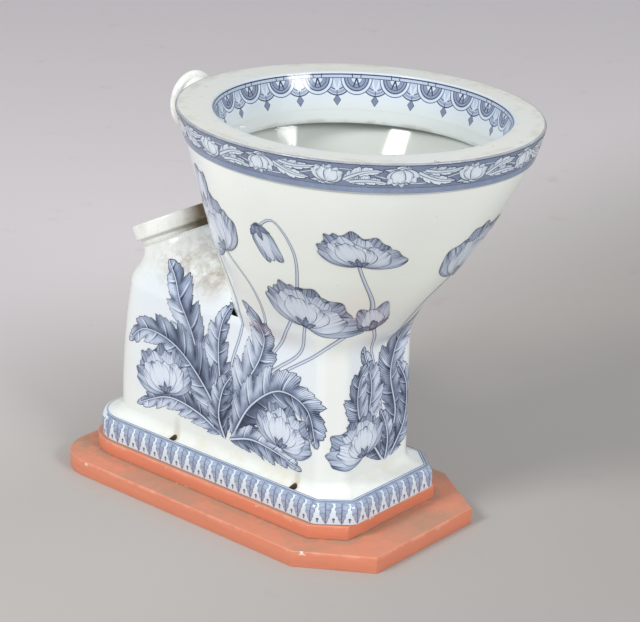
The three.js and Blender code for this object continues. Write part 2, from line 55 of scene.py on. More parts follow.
# Plinth boards. The foot of each is drawn in by (distance inwards, height) steps.
LOWER_BOARD = dict(half=132, front=-226, rear=226, cut_x=50, cut_y=77, rear_radius=50, corner_radius=1.5)
UPPER_BOARD = dict(half=99.5, front=-178, rear=216, cut_x=26, cut_y=35, rear_radius=56, corner_radius=1.5)
LOWER_TOP = 18.8
UPPER_TOP = 35.1
BOARD_GAP = 0.1
BOARD_EDGE = 1.6
BOARD_FOOT = ((0.6, 0), (0.2, 0.2), (0, 0.6))

# Foot of the pan: a lower edge of (distance inwards, height) steps, a band, a large round and a hollow cove.
FOOT = dict(half=88.5, front=-175, rear=208, cut_x=25, cut_y=30, rear_radius=43, corner_radius=9)
FOOT_BASE = 35.4
FOOT_BAND = 21.5
FOOT_ROLL = 4
FOOT_FLARE = 7
FOOT_ROUND = FOOT_FLARE + FOOT_ROLL
FOOT_UPRIGHT = FOOT_BAND - FOOT_FLARE
FOOT_EDGE = ((7, 0), (1.4, 0), (0.4, 0.5), (0, 1.8))
REAR_HELD = 0.75
COVE_RISE = 13
COVE_BASE = FOOT_BASE + FOOT_BAND + FOOT_ROLL
FOOT_TOP = COVE_BASE + COVE_RISE
FOOT_STEPS = 240

# Fixing holes. Each edge step is a distance beyond the hole's radius and a drop below the foot's surface.
HOLE_RADIUS = 4.2
HOLE_X = FOOT["half"] - 6.5
HOLE_FRONT = -106
HOLE_REAR = 77
HOLE_FLOOR = FOOT_BASE + 2
HOLE_EDGE = ((2, -0.15), (1.4, -0.15), (0.8, -0.12), (0.4, 0), (0.1, 0.35), (0, 1), (0, 4), (-0.1, 9))

# Casing.
CASING = dict(half=75, front=-155, cut_x=25, cut_y=20, rear_radius=46, corner_radius=18)
CASING_REAR = 193
CASING_REAR_HIGH = 177
SPLIT = 222
BRANCH = 200
CASING_BASE = FOOT_TOP + 0.3

# Bowl.
BOWL_FOOT_HALF = 69.5
BOWL_FOOT_LENGTH = 89
BOWL_FOOT_Y = -70.3
BOWL_TOP_HALF = 167.4
BOWL_TOP_LENGTH = 190.6
BOWL_TOP_Y = -115.7
BOWL_SWELL = 36
BOWL_SWAY = -17
BOWL_FOOT_Z = 230
BOWL_WAIST = 262
BOWL_TOP = 435.3
BOWL_REAR_END = 6
BOWL_FILLET = 22
FILLET_RISE = 45
FILLET_FALL = 120
BOWL_WALL = 10
LINING_GAP = 1
LINING_FULL = 32
LINING_LOW = 254
LINING_TAIL = (204, 200, 188)
OUTLET_Y = -74
OUTLET_BORE = 29.6
THROAT_Z = 207

# Rim: half width, half length and middle of its outer edge, of its band's foot and of its opening. Its foot
# is rounded in steps of (distance outwards, height).
RIM_TOP = 470
RIM_BAND = 34.4
RIM_Y = -115.7
RIM = np.array([177.5, 202.0, RIM_Y])
BAND = np.array([169.6, 192.9, RIM_Y])
OPENING = np.array([146.1, 162.4, -120.2])
RIM_BASE = RIM_TOP - RIM_BAND
RIM_EDGE = 1.6
RIM_FOOT = ((-3, 0), (-1, 0.4), (0, RIM_EDGE))
RIM_WALL = 9
RIM_STEPS = 720
LIP_DROP = 54
LIP_DRAW = 9
LIP_LEAN = 3
LIP_ROUND = 1.5

# Vent collar and the shoulder that carries it.
VENT_TILT = np.radians(26.5)
VENT_Y = 151
VENT_Z = 295
RING_RADIUS = 54
RING_HEIGHT = 17.5
RING_EDGE = 2.2
NECK_RADIUS = 48.5
NECK_HEIGHT = 9
NECK_FILLET = 2
VENT_BORE = 39.5
VENT_AXIS = np.array([0, np.sin(VENT_TILT), np.cos(VENT_TILT)])
VENT_ACROSS = np.array([0, np.cos(VENT_TILT), -np.sin(VENT_TILT)])
SHOULDER = dict(half=75, front=-75, cut_x=30, cut_y=24, rear_radius=46, corner_radius=24)
SHOULDER_RISE = 55
SHOULDER_DRAW = 7
SHOULDER_LIFT = 50
HIDDEN_MARGIN = 3

# Flush inlet. Its bead's fillet and its mouth's edge are steps of (distance outwards, distance back).
INLET_Z = 432.6
INLET_Y = 130
INLET_START = 74
BEAD_RADIUS = 33.5
BEAD_THICKNESS = 5
BEAD_START = -1.9
INLET_NECK = 27
INLET_BORE = 21
INLET_FILLET = ((0, 12), (0.6, 8))
INLET_MOUTH = ((3, 0.6), (1, 2), (0, 5))

# Prints: the middle they face away from, their height over the ware, the free share at the edge of each
# motif's cell of the map, and the grid on which the ware's reach is tabled.
WARE_MIDDLE = -60
PRINT_LIFT = 0.3
PRINT_STEP = 0.025
CELL_MARGIN = 0.02
TABLE_STEP = 2.0
TABLE_Y = np.arange(-312, 204, TABLE_STEP)
TABLE_X = np.arange(-170, 172, TABLE_STEP)
TABLE_Z = np.arange(74, 436, TABLE_STEP)
LACE_FANS = 22
LACE_DEPTH = 38
LACE_LINE = 4.6
FAN_EDGE = 18
SCROLL_REPEATS = 16
SCROLL_MIDDLE = 20
TIP_REPEATS = 62


# Shader nodes as expressions

def paint(red, green, blue):
    """A colour given as screen values 0 to 255, turned into the linear values that shaders use."""
    share = np.array([red, green, blue]) / 255
    linear = np.where(share <= 0.04045, share / 12.92, ((share + 0.055) / 1.055) ** 2.4)
    return (*linear.tolist(), 1.0)


def stops(*rows):
    """A colour ramp's stops from rows of position, red, green and blue."""
    return [(position, paint(*colour)) for position, *colour in rows]


def sign(operation, swapped=False):
    """A method that adds one Math node, with the other term first where it is swapped."""
    def method(self, *others):
        terms = (*others, self) if swapped else (self, *others)
        return self.finish.add("ShaderNodeMath", {"operation": operation}, dict(enumerate(terms)))
    return method


class Value:
    """A shader socket that takes the usual signs, each of which adds a Math node."""

    def __init__(self, finish, socket):
        self.finish = finish
        self.socket = socket

    __add__ = sign("ADD")
    __radd__ = sign("ADD", True)
    __sub__ = sign("SUBTRACT")
    __rsub__ = sign("SUBTRACT", True)
    __mul__ = sign("MULTIPLY")
    __rmul__ = sign("MULTIPLY", True)
    __truediv__ = sign("DIVIDE")
    __abs__ = sign("ABSOLUTE")
    fraction = sign("FRACT")
    low = sign("MINIMUM")
    high = sign("MAXIMUM")
    root = sign("SQRT")
    sine = sign("SINE")

    def wave(self):
        """A sine with one wave for every 1."""
        return (self * TURN).sine()

    def step(self, start, end):
        """Rises smoothly from 0 at start to 1 at end, or falls where start is the larger."""
        settings = {"interpolation_type": "SMOOTHSTEP"}
        if start < end:
            return self.finish.add("ShaderNodeMapRange", settings, {0: self, 1: start, 2: end})
        return 1 - self.finish.add("ShaderNodeMapRange", settings, {0: self, 1: end, 2: start})

    def line(self, middle, width, blur=0.3):
        """1 within half a width of the middle, 0 outside."""
        return abs(self - middle).step(width * (0.5 + blur), width * (0.5 - blur))


class Finish:
    """A material with one Principled shader, and the method that adds any other node."""

    def __init__(self, name):
        self.material = bpy.data.materials.new(name)
        self.material.use_nodes = True
        self.tree = self.material.node_tree
        self.tree.nodes.clear()
        self.shader = self.tree.nodes.new("ShaderNodeBsdfPrincipled")
        output = self.tree.nodes.new("ShaderNodeOutputMaterial")
        self.tree.links.new(self.shader.outputs[0], output.inputs[0])
        self.place = self.add("ShaderNodeTexCoord", {}, {}, "Object")

    def plug(self, socket, value):
        """Links a socket, or sets its value."""
        if isinstance(value, Value):
            self.tree.links.new(value.socket, socket)
        else:
            socket.default_value = value

    def add(self, kind, settings, sockets, output=0):
        """Adds a node: its settings come first, then its socket values or links."""
        node = self.tree.nodes.new(kind)
        for name, value in settings.items():
            if name == "stops":
                ramp = node.color_ramp.elements
                while len(ramp) < len(value):
                    ramp.new(0.5)
                for element, (position, colour) in zip(ramp, value):
                    element.position = position
                    element.color = colour
            else:
                setattr(node, name, value)
        for name, value in sockets.items():
            self.plug(node.inputs[name], value)
        return Value(self, node.outputs[output])

    def mix(self, factor, low, high):
        """A colour between two others."""
        return self.add("ShaderNodeMix", {"data_type": "RGBA"}, {0: factor, 6: low, 7: high}, 2)

    def lay(self, mask, red, green, blue):
        """Lays a colour over the finish's own colour where the mask says."""
        self.colour = self.mix(mask, self.colour, paint(red, green, blue))

    def noise(self, scale, detail=3, roughness=0.5, place=None):
        """Cloudy noise round 0.5, of that scale."""
        sockets = {"Vector": place or self.place, "Scale": scale, "Detail": detail, "Roughness": roughness}
        return self.add("ShaderNodeTexNoise", {}, sockets)

    def axes(self, vector=None):
        """The three parts of a vector, or of the place."""
        return [self.add("ShaderNodeSeparateXYZ", {}, {0: vector or self.place}, name) for name in "XYZ"]

    def normal(self):
        """The direction that the surface faces."""
        return self.add("ShaderNodeNewGeometry", {}, {}, "Normal")

    def done(self, roughness, relief=None, depth=0.0005, **values):
        """Sets colour, roughness, relief and uniform values, and gives the finished material."""
        values |= {"Base Color": self.colour, "Roughness": roughness}
        if relief:
            sockets = {"Height": relief, "Distance": depth, "Strength": 1.0}
            values["Normal"] = self.add("ShaderNodeBump", {}, sockets)
        for name, value in values.items():
            self.plug(self.shader.inputs[name], value)
        return self.material


# Outlines, rings and grids

def blend(low, high, share):
    """A straight line from low to high."""
    return low * (1 - share) + high * share


def sides(corners):
    """Unit directions of the sides of a closed outline."""
    along = np.roll(corners, -1, axis=0) - corners
    return along / np.linalg.norm(along, axis=1, keepdims=True)


def inset(corners, distance):
    """Moves each side of a convex outline inwards: a corner goes along the sum of its two inward normals."""
    out_side = sides(corners)
    inward = np.stack([-out_side[:, 1], out_side[:, 0]], 1)
    before = np.roll(inward, 1, axis=0)
    share = distance / (1 + (inward * before).sum(1))
    return corners + share[:, None] * (inward + before)


def rounded(corners, radii, arc_steps, side_steps):
    """Outline points: an arc of each corner's radius, then even steps along each straight side."""
    ahead = sides(corners)
    back = np.roll(ahead, 1, axis=0)
    turn = np.arccos(np.clip((ahead * back).sum(1), -1, 1))
    start = corners - back * (radii * np.tan(turn / 2))[:, None]
    across = np.stack([-back[:, 1], back[:, 0]], 1)
    angle = turn[:, None] * np.linspace(0, 1, arc_steps + 1)
    arc = (
        start[:, None]
        + back[:, None] * (radii[:, None] * np.sin(angle))[..., None]
        + across[:, None] * (radii[:, None] * (1 - np.cos(angle)))[..., None]
    )
    end = np.roll(arc[:, 0], -1, axis=0)
    share = (np.arange(1, side_steps) / side_steps)[None, :, None]
    straight = blend(arc[:, -1:], end[:, None], share)
    return np.concatenate([arc, straight], 1).reshape(-1, 2)


def cut_outline(
    half, front, rear, cut_x, cut_y, rear_radius, corner_radius, inward=0, arc_steps=10, side_steps=24
):
    """The plan of the boards, foot and casing: cut front corners and rounded rear corners."""
    right = [[half - cut_x, front], [half, front + cut_y], [half, rear]]
    left = [[-x, y] for x, y in reversed(right)]
    corners = inset(np.array(right + left, float), inward)
    front_radii = [corner_radius, corner_radius]
    radii = np.maximum(np.array(front_radii + [rear_radius, rear_radius] + front_radii) - inward, 0.8)
    return rounded(corners, radii, arc_steps, side_steps)


def foot_plan(inward, side_steps):
    """The foot's plan, moved in or out, but out less far at the rear."""
    rear = FOOT["rear"] + REAR_HELD * min(inward, 0)
    return cut_outline(**{**FOOT, "rear": rear}, inward=inward, side_steps=side_steps)


BOWL_PLAN = cut_outline(**CASING, rear=BOWL_REAR_END)
FINE_BOWL_PLAN = cut_outline(**CASING, rear=BOWL_REAR_END, arc_steps=40, side_steps=200)


def at_height(plan, height):
    """A plan's points, all at one height."""
    return np.concatenate([plan, np.full((len(plan), 1), float(height))], 1)


def oval(half, length, middle_y, height, steps=320):
    """A level ellipse, counterclockwise from +X."""
    angle = np.arange(steps) / steps * TURN
    return at_height(np.stack([half * np.cos(angle), middle_y + length * np.sin(angle)], 1), height)


def grid_faces(rows, columns, round_rows=False, round_columns=True):
    """Four-sided faces between neighbouring rows and columns of a grid of points."""
    row = np.arange(rows if round_rows else rows - 1)
    column = np.arange(columns if round_columns else columns - 1)
    r, c = np.meshgrid(row, column, indexing="ij")
    up = (r + 1) % rows
    on = (c + 1) % columns
    quads = np.stack([r * columns + c, r * columns + on, up * columns + on, up * columns + c], -1)
    return quads.reshape(-1, 4)


def ring_skin(rings, round_rows=False):
    """Points and faces of a stack of equal rings."""
    rings = np.stack(rings)
    return rings.reshape(-1, 3), grid_faces(len(rings), rings.shape[1], round_rows)


def capped(rings):
    """A stack of equal rings whose two ends are closed by fans of four-sided faces."""
    count = rings.shape[1]
    hubs = rings[[0, -1]].mean(1)
    shrink = [blend(rings[0], hubs[0], s) for s in (0.98, 0.5)]
    grow = [blend(rings[-1], hubs[1], s) for s in (0.5, 0.98)]
    points, faces = ring_skin([*shrink, *rings, *grow])
    last = len(points) - count
    k = np.arange(count // 2 - 1)
    low = np.stack([k, count - 1 - k, count - 2 - k, k + 1], 1)
    high = np.stack([last + k, last + k + 1, last + count - 2 - k, last + count - 1 - k], 1)
    return points, np.concatenate([faces, low, high])


def joined(parts):
    """Several pairs of points and faces as one."""
    counts = np.cumsum([0] + [len(points) for points, _ in parts])
    faces = [part[1] + count for part, count in zip(parts, counts)]
    return np.concatenate([points for points, _ in parts]), np.concatenate(faces)


def piece(name, shape, material, stands_for=(), uv=None):
    """A finished piece at the origin from points in millimetres and faces, riding on the one body."""
    points, faces = shape
    mesh = bpy.data.meshes.new(name)
    mesh.from_pydata((points * MM).tolist(), [], faces.tolist())
    mesh.shade_smooth()
    if uv is not None:
        layer = mesh.uv_layers.new(name="OFBake")
        layer.data.foreach_set("uv", uv.astype(np.float32).ravel())
    mesh.materials.append(material)
    obj = bpy.data.objects.new(name, mesh)
    bpy.context.collection.objects.link(obj)
    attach(obj, "root")
    if stands_for:
        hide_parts(*stands_for)
    return obj


def quarter_round(size, steps):
    """Distances in from an edge and down from its top, over a quarter circle that starts upright."""
    return [(size * (1 - np.cos(a)), size * (1 - np.sin(a))) for a in np.linspace(0, QUARTER, steps)]


# Plinth boards

def board(name, outline, base, top, material):
    """A board as stacked outlines: a small round along the top edge, a smaller one below."""
    levels = [(inward, base + z) for inward, z in BOARD_FOOT]
    levels += [(inward, top - drop) for inward, drop in quarter_round(BOARD_EDGE, 6)]
    rings = [at_height(cut_outline(**outline, inward=inward), z) for inward, z in levels]
    piece(f"{name}_shape", capped(np.stack(rings)), material, [name])


# Foot and casing

def leaning_ring(outline, height):
    """The casing's or shoulder's plan at a height: its rear leans forward as a parabola."""
    rise = np.clip((height - CASING_BASE) / (SPLIT - CASING_BASE), 0, 1)
    rear = CASING_REAR + (CASING_REAR_HIGH - CASING_REAR) * rise * rise
    return at_height(cut_outline(**outline, rear=rear), height)


def foot_rings():
    """The foot's skirt, upright and then a quarter round, and a hollow cove up to the casing."""
    profile = [*FOOT_EDGE, (0, FOOT_UPRIGHT)]
    for inward, drop in quarter_round(FOOT_ROUND, 15)[1:]:
        profile.append((inward, FOOT_UPRIGHT + FOOT_ROUND - drop))
    skirt = [at_height(foot_plan(i - FOOT_FLARE, FOOT_STEPS), FOOT_BASE + z) for i, z in profile]
    shelf = foot_plan(FOOT_ROLL, FOOT_STEPS)
    neck = cut_outline(**CASING, rear=CASING_REAR, side_steps=FOOT_STEPS)
    cove = quarter_round(1, 13)[1:]
    return skirt + [at_height(blend(neck, shelf, out), COVE_BASE + COVE_RISE * rise) for rise, out in cove]


def foot_surface(reach):
    """Height of the foot's upper side at that distance from the middle: the round's arc, then the cove's."""
    into = np.clip(FOOT["half"] + FOOT_FLARE - reach, 0, FOOT_ROUND)
    edge = FOOT_ROUND * np.sqrt(np.clip(1 - (1 - into / FOOT_ROUND) ** 2, 0, 1))
    shelf = FOOT["half"] - FOOT_ROLL
    share = np.clip((shelf - reach) / (shelf - CASING["half"]), 0, 1)
    cove = COVE_RISE * (1 - np.sqrt(1 - share * share))
    return FOOT_BASE + FOOT_UPRIGHT + edge + cove


def fixing_hole(x, y):
    """A hole in the foot: rings that lie on its surface, turn in over a soft edge and go straight down."""
    angle = np.arange(40) / 40 * TURN
    rings = []
    for radius, drop in HOLE_EDGE:
        around = HOLE_RADIUS + radius
        place_x = x + around * np.cos(angle)
        rings.append(np.stack([place_x, y + around * np.sin(angle), foot_surface(np.abs(place_x)) - drop], 1))
    for radius in (HOLE_RADIUS - 0.1, 0.1):
        rings.append(oval(radius, radius, y, HOLE_FLOOR, 40) + [x, 0, 0])
    return ring_skin(rings)


# Bowl

def cone(height):
    """The cone's half width, half length and middle: straight lines from foot to top, plus a parabola."""
    share = (height - BOWL_FOOT_Z) / (BOWL_TOP - BOWL_FOOT_Z)
    bulge = share * (1 - share)
    half = blend(BOWL_FOOT_HALF, BOWL_TOP_HALF, share) + BOWL_SWELL * bulge
    length = blend(BOWL_FOOT_LENGTH, BOWL_TOP_LENGTH, share) + BOWL_SWELL * bulge
    middle = blend(BOWL_FOOT_Y, BOWL_TOP_Y, share) + BOWL_SWAY * bulge
    return half, length, middle


def bowl_ring(height):
    """At each direction the wider of the casing's plan and the cone, joined by a soft maximum."""
    half, length, middle = cone(height)
    direction = np.arctan2(BOWL_PLAN[:, 1] - BOWL_FOOT_Y, BOWL_PLAN[:, 0])
    offset = FINE_BOWL_PLAN - [0, middle]
    bearing = np.arctan2(offset[:, 1], offset[:, 0])
    order = np.argsort(bearing)
    flat = np.interp(direction, bearing[order], np.hypot(*offset.T)[order], period=TURN)
    wide = 1 / np.hypot(np.cos(direction) / half, np.sin(direction) / length)
    start = np.clip((height - BRANCH) / FILLET_RISE, 0, 1)
    fade = min(1, (BOWL_TOP + 2 - height) / FILLET_FALL)
    fillet = BOWL_FILLET * start * start * (3 - 2 * start) * fade
    wide = np.where(height < BRANCH + 1, flat, wide)
    reach = (flat + wide + np.hypot(flat - wide, fillet)) / 2
    plan = np.stack([reach * np.cos(direction), middle + reach * np.sin(direction)], 1)
    return at_height(plan, height)


def bowl_rings():
    """The bowl's rings, closer together where the casing turns into the cone."""
    low = np.linspace(BRANCH, BOWL_WAIST, 42)
    high = np.linspace(BOWL_WAIST, BOWL_TOP + 1.5, 60)[1:]
    return [bowl_ring(z) for z in (*low, *high)]


def bowl_lining(material):
    """Inside of the bowl: the cone less its wall, thickest at half height, then a fall to the outlet."""
    start = BOWL_TOP - LINING_GAP
    rings = [oval(BOWL_TOP_HALF - LINING_GAP, BOWL_TOP_LENGTH - LINING_GAP, BOWL_TOP_Y, start)]
    for z in np.linspace(start, LINING_LOW, 60):
        half, length, middle = cone(z)
        share = (z - BOWL_FOOT_Z) / (BOWL_TOP - BOWL_FOOT_Z)
        wall = BOWL_WALL + LINING_FULL * share * (1 - share)
        rings.append(oval(half - wall, length - wall, middle, z))
    low = rings[-1]
    throat = oval(OUTLET_BORE, OUTLET_BORE, OUTLET_Y, THROAT_Z)
    for share in np.linspace(0, 1, 24)[1:]:
        ring = blend(low, throat, share**0.9)
        ring[:, 2] = blend(LINING_LOW, THROAT_Z, share)
        rings.append(ring)
    rings += [at_height(throat[:, :2], z) for z in LINING_TAIL]
    piece("bowl_lining", ring_skin(rings), material)


# Shoulder over the trap

def vent_point(drop):
    """A point on the vent's leaning axis, that far below the middle of its top face."""
    return np.array([0, VENT_Y, VENT_Z]) - drop * VENT_AXIS


def shoulder_rings():
    """Upright at the casing's plan, then a cubic Hermite curve per plan point up to the leaning neck."""
    rings = [leaning_ring(SHOULDER, z) for z in np.linspace(BRANCH, SPLIT, 6)[:-1]]
    base = cut_outline(**SHOULDER, rear=CASING_REAR_HIGH)
    start = at_height(base, SPLIT)
    angle = np.arctan2(base[:, 1] - CASING_REAR_HIGH / 2, base[:, 0])
    outward = np.cos(angle)[:, None] * [1, 0, 0] + np.sin(angle)[:, None] * VENT_ACROSS
    neck = vent_point(RING_HEIGHT + NECK_HEIGHT) + outward * NECK_RADIUS
    pull = VENT_AXIS * SHOULDER_LIFT - outward * SHOULDER_DRAW
    for t in np.linspace(0, 1, 48):
        keep = 2 * t**3 - 3 * t**2 + 1
        rise = t**3 - 2 * t**2 + t
        draw = t**3 - t**2
        rings.append(start * keep + np.array([0, 0, SHOULDER_RISE]) * rise + neck * (1 - keep) + pull * draw)
    rings.append(vent_point(RING_HEIGHT + NECK_HEIGHT - 2) + outward * NECK_RADIUS)
    return rings


def shoulder_skin():
    """The shoulder without the faces that would stand in the cone or in the casing's front part."""
    points, faces = ring_skin(shoulder_rings())
    x, y, z = points[faces].mean(1).T
    half, length, middle = cone(z)
    in_cone = np.hypot(x / (half - HIDDEN_MARGIN), (y - middle) / (length - HIDDEN_MARGIN)) < 1
    in_casing = (np.abs(x) < CASING["half"] - HIDDEN_MARGIN) & (y < BOWL_REAR_END - HIDDEN_MARGIN)
    return points, faces[~(in_cone | in_casing)]


def pan_body(material):
    """Foot, casing, cone and shoulder as one glazed skin, cut open at the four fixing holes."""
    points, faces = ring_skin(foot_rings())
    centre = points[faces].mean(1)
    keep = np.ones(len(faces), bool)
    holes = []
    for x in (-HOLE_X, HOLE_X):
        for y in (HOLE_FRONT, HOLE_REAR):
            keep &= np.hypot(centre[:, 0] - x, centre[:, 1] - y) > HOLE_RADIUS + 1
            holes.append(fixing_hole(x, y))
    casing = [leaning_ring(CASING, z) for z in np.linspace(FOOT_TOP, BRANCH, 18)]
    skins = [(points, faces[keep]), ring_skin(casing), ring_skin(bowl_rings()), shoulder_skin()]
    stands_for = ["foot", "pedestal", "trap_casing", "bowl"]
    piece("pan_body", joined(skins + holes), material, stands_for)


# Rim

def lip_draw(share):
    """How far the rim's inner wall has drawn in at that share of its height, down from the top."""
    return LIP_DRAW * np.sin(QUARTER * share) + LIP_LEAN * share


def rim_section():
    """Rows of plan, distance outwards and height: foot, outer wall, top, inner wall, lip, and back inside."""
    under = RIM_TOP - RIM_WALL
    lip = RIM_TOP - LIP_DROP
    thick = RIM_WALL - 2
    rows = [(BAND, outward, RIM_BASE + z) for outward, z in RIM_FOOT]
    for share in np.linspace(0, 1, 12)[1:]:
        rows.append((blend(BAND, RIM, share), 0, blend(RIM_BASE + RIM_EDGE, RIM_TOP - RIM_EDGE, share)))
    roll = quarter_round(RIM_EDGE, 7)
    rows += [(RIM, -inward, RIM_TOP - drop) for inward, drop in roll[1:]]
    for share in np.linspace(0, 1, 6)[1:-1]:
        rows.append((blend(RIM, OPENING, share), RIM_EDGE * (2 * share - 1), RIM_TOP))
    rows += [(OPENING, drop, RIM_TOP - inward) for inward, drop in roll]
    for share in np.linspace(0, 1, 16)[1:]:
        rows.append((OPENING, -lip_draw(share), blend(RIM_TOP - RIM_EDGE, lip, share)))
    for a in np.linspace(0, np.pi, 7)[1:]:
        rows.append((OPENING, thick / 2 * (1 - np.cos(a)) - lip_draw(1), lip - LIP_ROUND * np.sin(a)))
    return rows + [(OPENING, thick - 2, under), (RIM, -RIM_WALL - 1, under), (BAND, -RIM_WALL, RIM_BASE)]


def flushing_rim(material):
    """The rim's section carried round its two ovals, closed on itself."""
    rings = []
    for (half, length, middle), outward, height in rim_section():
        rings.append(oval(half + outward, length + outward, middle, height, 400))
    stands_for = ["rim_band", "rim_top_ring", "rim_inner_wall"]
    piece("rim", ring_skin(rings, round_rows=True), material, stands_for)


# Turned pieces

def turned(profile):
    """A profile of (radius, height) points turned round the Z axis and closed on itself."""
    return ring_skin([oval(radius, radius, 0, height, 96) for radius, height in profile], round_rows=True)


def arc(radius, height, size, start, end, steps):
    """Points of an arc of that size about (radius, height), between two angles."""
    return [(radius + size * np.cos(a), height + size * np.sin(a)) for a in np.linspace(start, end, steps)]


def vent_collar(material):
    """Neck and ring, turned as one and leaned back."""
    total = RING_HEIGHT + NECK_HEIGHT
    profile = [(VENT_BORE, -3), (NECK_RADIUS, -3), (NECK_RADIUS, NECK_HEIGHT - NECK_FILLET)]
    profile += arc(NECK_RADIUS + NECK_FILLET, NECK_HEIGHT - NECK_FILLET, NECK_FILLET, np.pi, QUARTER, 5)[1:]
    profile += arc(RING_RADIUS - RING_EDGE, NECK_HEIGHT + RING_EDGE, RING_EDGE, -QUARTER, 0, 5)
    profile += arc(RING_RADIUS - RING_EDGE, total - RING_EDGE, RING_EDGE, 0, QUARTER, 5)
    profile += arc(VENT_BORE + RING_EDGE, total - RING_EDGE, RING_EDGE, QUARTER, np.pi, 5)
    points, faces = turned(profile)
    lean = np.stack([[1, 0, 0], VENT_ACROSS, VENT_AXIS])
    shape = points @ lean + vent_point(total), faces
    piece("vent_collar_ring", shape, material, ["vent_collar"])


def inlet_horn(material):
    """A short neck with a rolled bead, lying along Y behind the rim."""
    bead = INLET_Y - BEAD_THICKNESS
    profile = [(INLET_BORE, INLET_START), (INLET_NECK, INLET_START)]
    profile += [(INLET_NECK + out, bead - back) for out, back in INLET_FILLET]
    profile += arc(BEAD_RADIUS - BEAD_THICKNESS, bead, BEAD_THICKNESS, BEAD_START, QUARTER, 14)
    profile += [(INLET_BORE + out, INLET_Y - back) for out, back in INLET_MOUTH]
    points, faces = turned(profile)
    points = np.stack([points[:, 0], points[:, 2], INLET_Z - points[:, 1]], 1)
    piece("inlet_horn", (points, faces), material, ["flush_inlet"])


# Where the prints lie

def widest(ring, side, grid):
    """A level ring's reach along one axis at each grid place along the other, 0 where there is none."""
    near = ring[ring[:, 0] >= 0] if side == 0 else ring[ring[:, 1] <= WARE_MIDDLE]
    near = near[np.argsort(near[:, 1 - side], kind="stable")]
    return np.interp(grid, near[:, 1 - side], np.abs(near[:, side]), left=0, right=0)


def shoulder_levels():
    """The shoulder cut level: x and y are read off each of its columns at the heights of the tables."""
    grid = np.stack(shoulder_rings())
    cuts = []
    for column in range(grid.shape[1]):
        x, y, z = grid[:, column].T
        cuts.append([np.interp(TABLE_Z, z, axis, left=np.nan, right=np.nan) for axis in (x, y)])
    return np.array(cuts).transpose(2, 0, 1)


def reach_tables():
    """How far the ware reaches to its side at each (z, y), and to its front at each (z, x)."""
    side, front = [], []
    for z, cut in zip(TABLE_Z, shoulder_levels()):
        ring = leaning_ring(CASING, z) if z < BRANCH else bowl_ring(z)
        reach = widest(ring, 0, TABLE_Y)
        cut = cut[~np.isnan(cut[:, 0])]
        if z >= BRANCH and len(cut) > 2:
            reach = np.maximum(reach, widest(cut, 0, TABLE_Y))
        side.append(reach)
        front.append(widest(ring, 1, TABLE_X))
    return np.array(side), np.array(front)


SIDE_REACH, FRONT_REACH = reach_tables()


def read_table(table, height, place, first):
    """A table's value between its points: the mean of the four nearest, weighted by nearness."""
    row = np.clip((height - TABLE_Z[0]) / TABLE_STEP, 0, table.shape[0] - 1.001)
    column = np.clip((place - first) / TABLE_STEP, 0, table.shape[1] - 1.001)
    r, c = row.astype(int), column.astype(int)
    low = blend(table[r, c], table[r, c + 1], column - c)
    high = blend(table[r + 1, c], table[r + 1, c + 1], column - c)
    return blend(low, high, row - r)


def on_left(flat, lift):
    """Lays flat points (y, z) on the left of the ware."""
    reach = read_table(SIDE_REACH, flat[..., 1], flat[..., 0], TABLE_Y[0]) + lift
    return np.stack([-reach, flat[..., 0], flat[..., 1]], -1)


def on_right(flat, lift):
    """The left side's mirror image."""
    return on_left(flat, lift) * [-1, 1, 1]


def on_front(flat, lift):
    """Lays flat points (x, z) on the front of the ware."""
    reach = read_table(FRONT_REACH, flat[..., 1], flat[..., 0], TABLE_X[0]) + lift
    return np.stack([flat[..., 0], -reach, flat[..., 1]], -1)


def lengths_along(loop):
    """Distance of each point of a closed line from its first, and the whole length."""
    step = np.linalg.norm(np.roll(loop, -1, axis=0) - loop, axis=1)
    return np.concatenate([[0], np.cumsum(step)])


FOOT_LOOPS = [foot_plan(inward, 60) for inward in (-FOOT_FLARE, FOOT_ROLL)]
FOOT_AROUND = lengths_along(FOOT_LOOPS[0])
RIM_AROUND = lengths_along(oval(*(RIM + BAND) / 2, 0, RIM_STEPS))
OPENING_AROUND = lengths_along(oval(*OPENING, 0, RIM_STEPS))
LACE_PITCH = OPENING_AROUND[-1] / LACE_FANS


def turn_at(distance, around):
    """The oval's angle at that distance along it."""
    return np.interp(distance, around, np.linspace(0, TURN, RIM_STEPS + 1))


def on_rim(flat, lift):
    """Lays flat points (distance round the rim, height above its foot) on the leaning outer band."""
    angle = turn_at(flat[..., 0] % RIM_AROUND[-1], RIM_AROUND)
    share = (flat[..., 1] - RIM_EDGE) / (RIM_BAND - 2 * RIM_EDGE)
    half = blend(BAND[0], RIM[0], share) + lift
    length = blend(BAND[1], RIM[1], share) + lift
    return np.stack([half * np.cos(angle), RIM_Y + length * np.sin(angle), RIM_BASE + flat[..., 1]], -1)


def on_foot(flat, lift):
    """Lays flat points (distance round the foot, distance up its profile) on the band and the round."""
    angle = np.clip((flat[..., 1] - FOOT_UPRIGHT) / FOOT_ROUND, 0, QUARTER)
    share = 1 - np.cos(angle) - lift / FOOT_ROUND * np.cos(angle)
    places = []
    for axis in (0, 1):
        outer, inner = (
            np.interp(flat[..., 0], FOOT_AROUND[:-1], edge[:, axis], period=FOOT_AROUND[-1])
            for edge in FOOT_LOOPS
        )
        places.append(blend(outer, inner, share))
    rise = np.minimum(flat[..., 1], FOOT_UPRIGHT) + (FOOT_ROUND + lift) * np.sin(angle)
    return np.stack([*places, FOOT_BASE + rise], -1)


# Printed motifs, drawn flat in millimetres

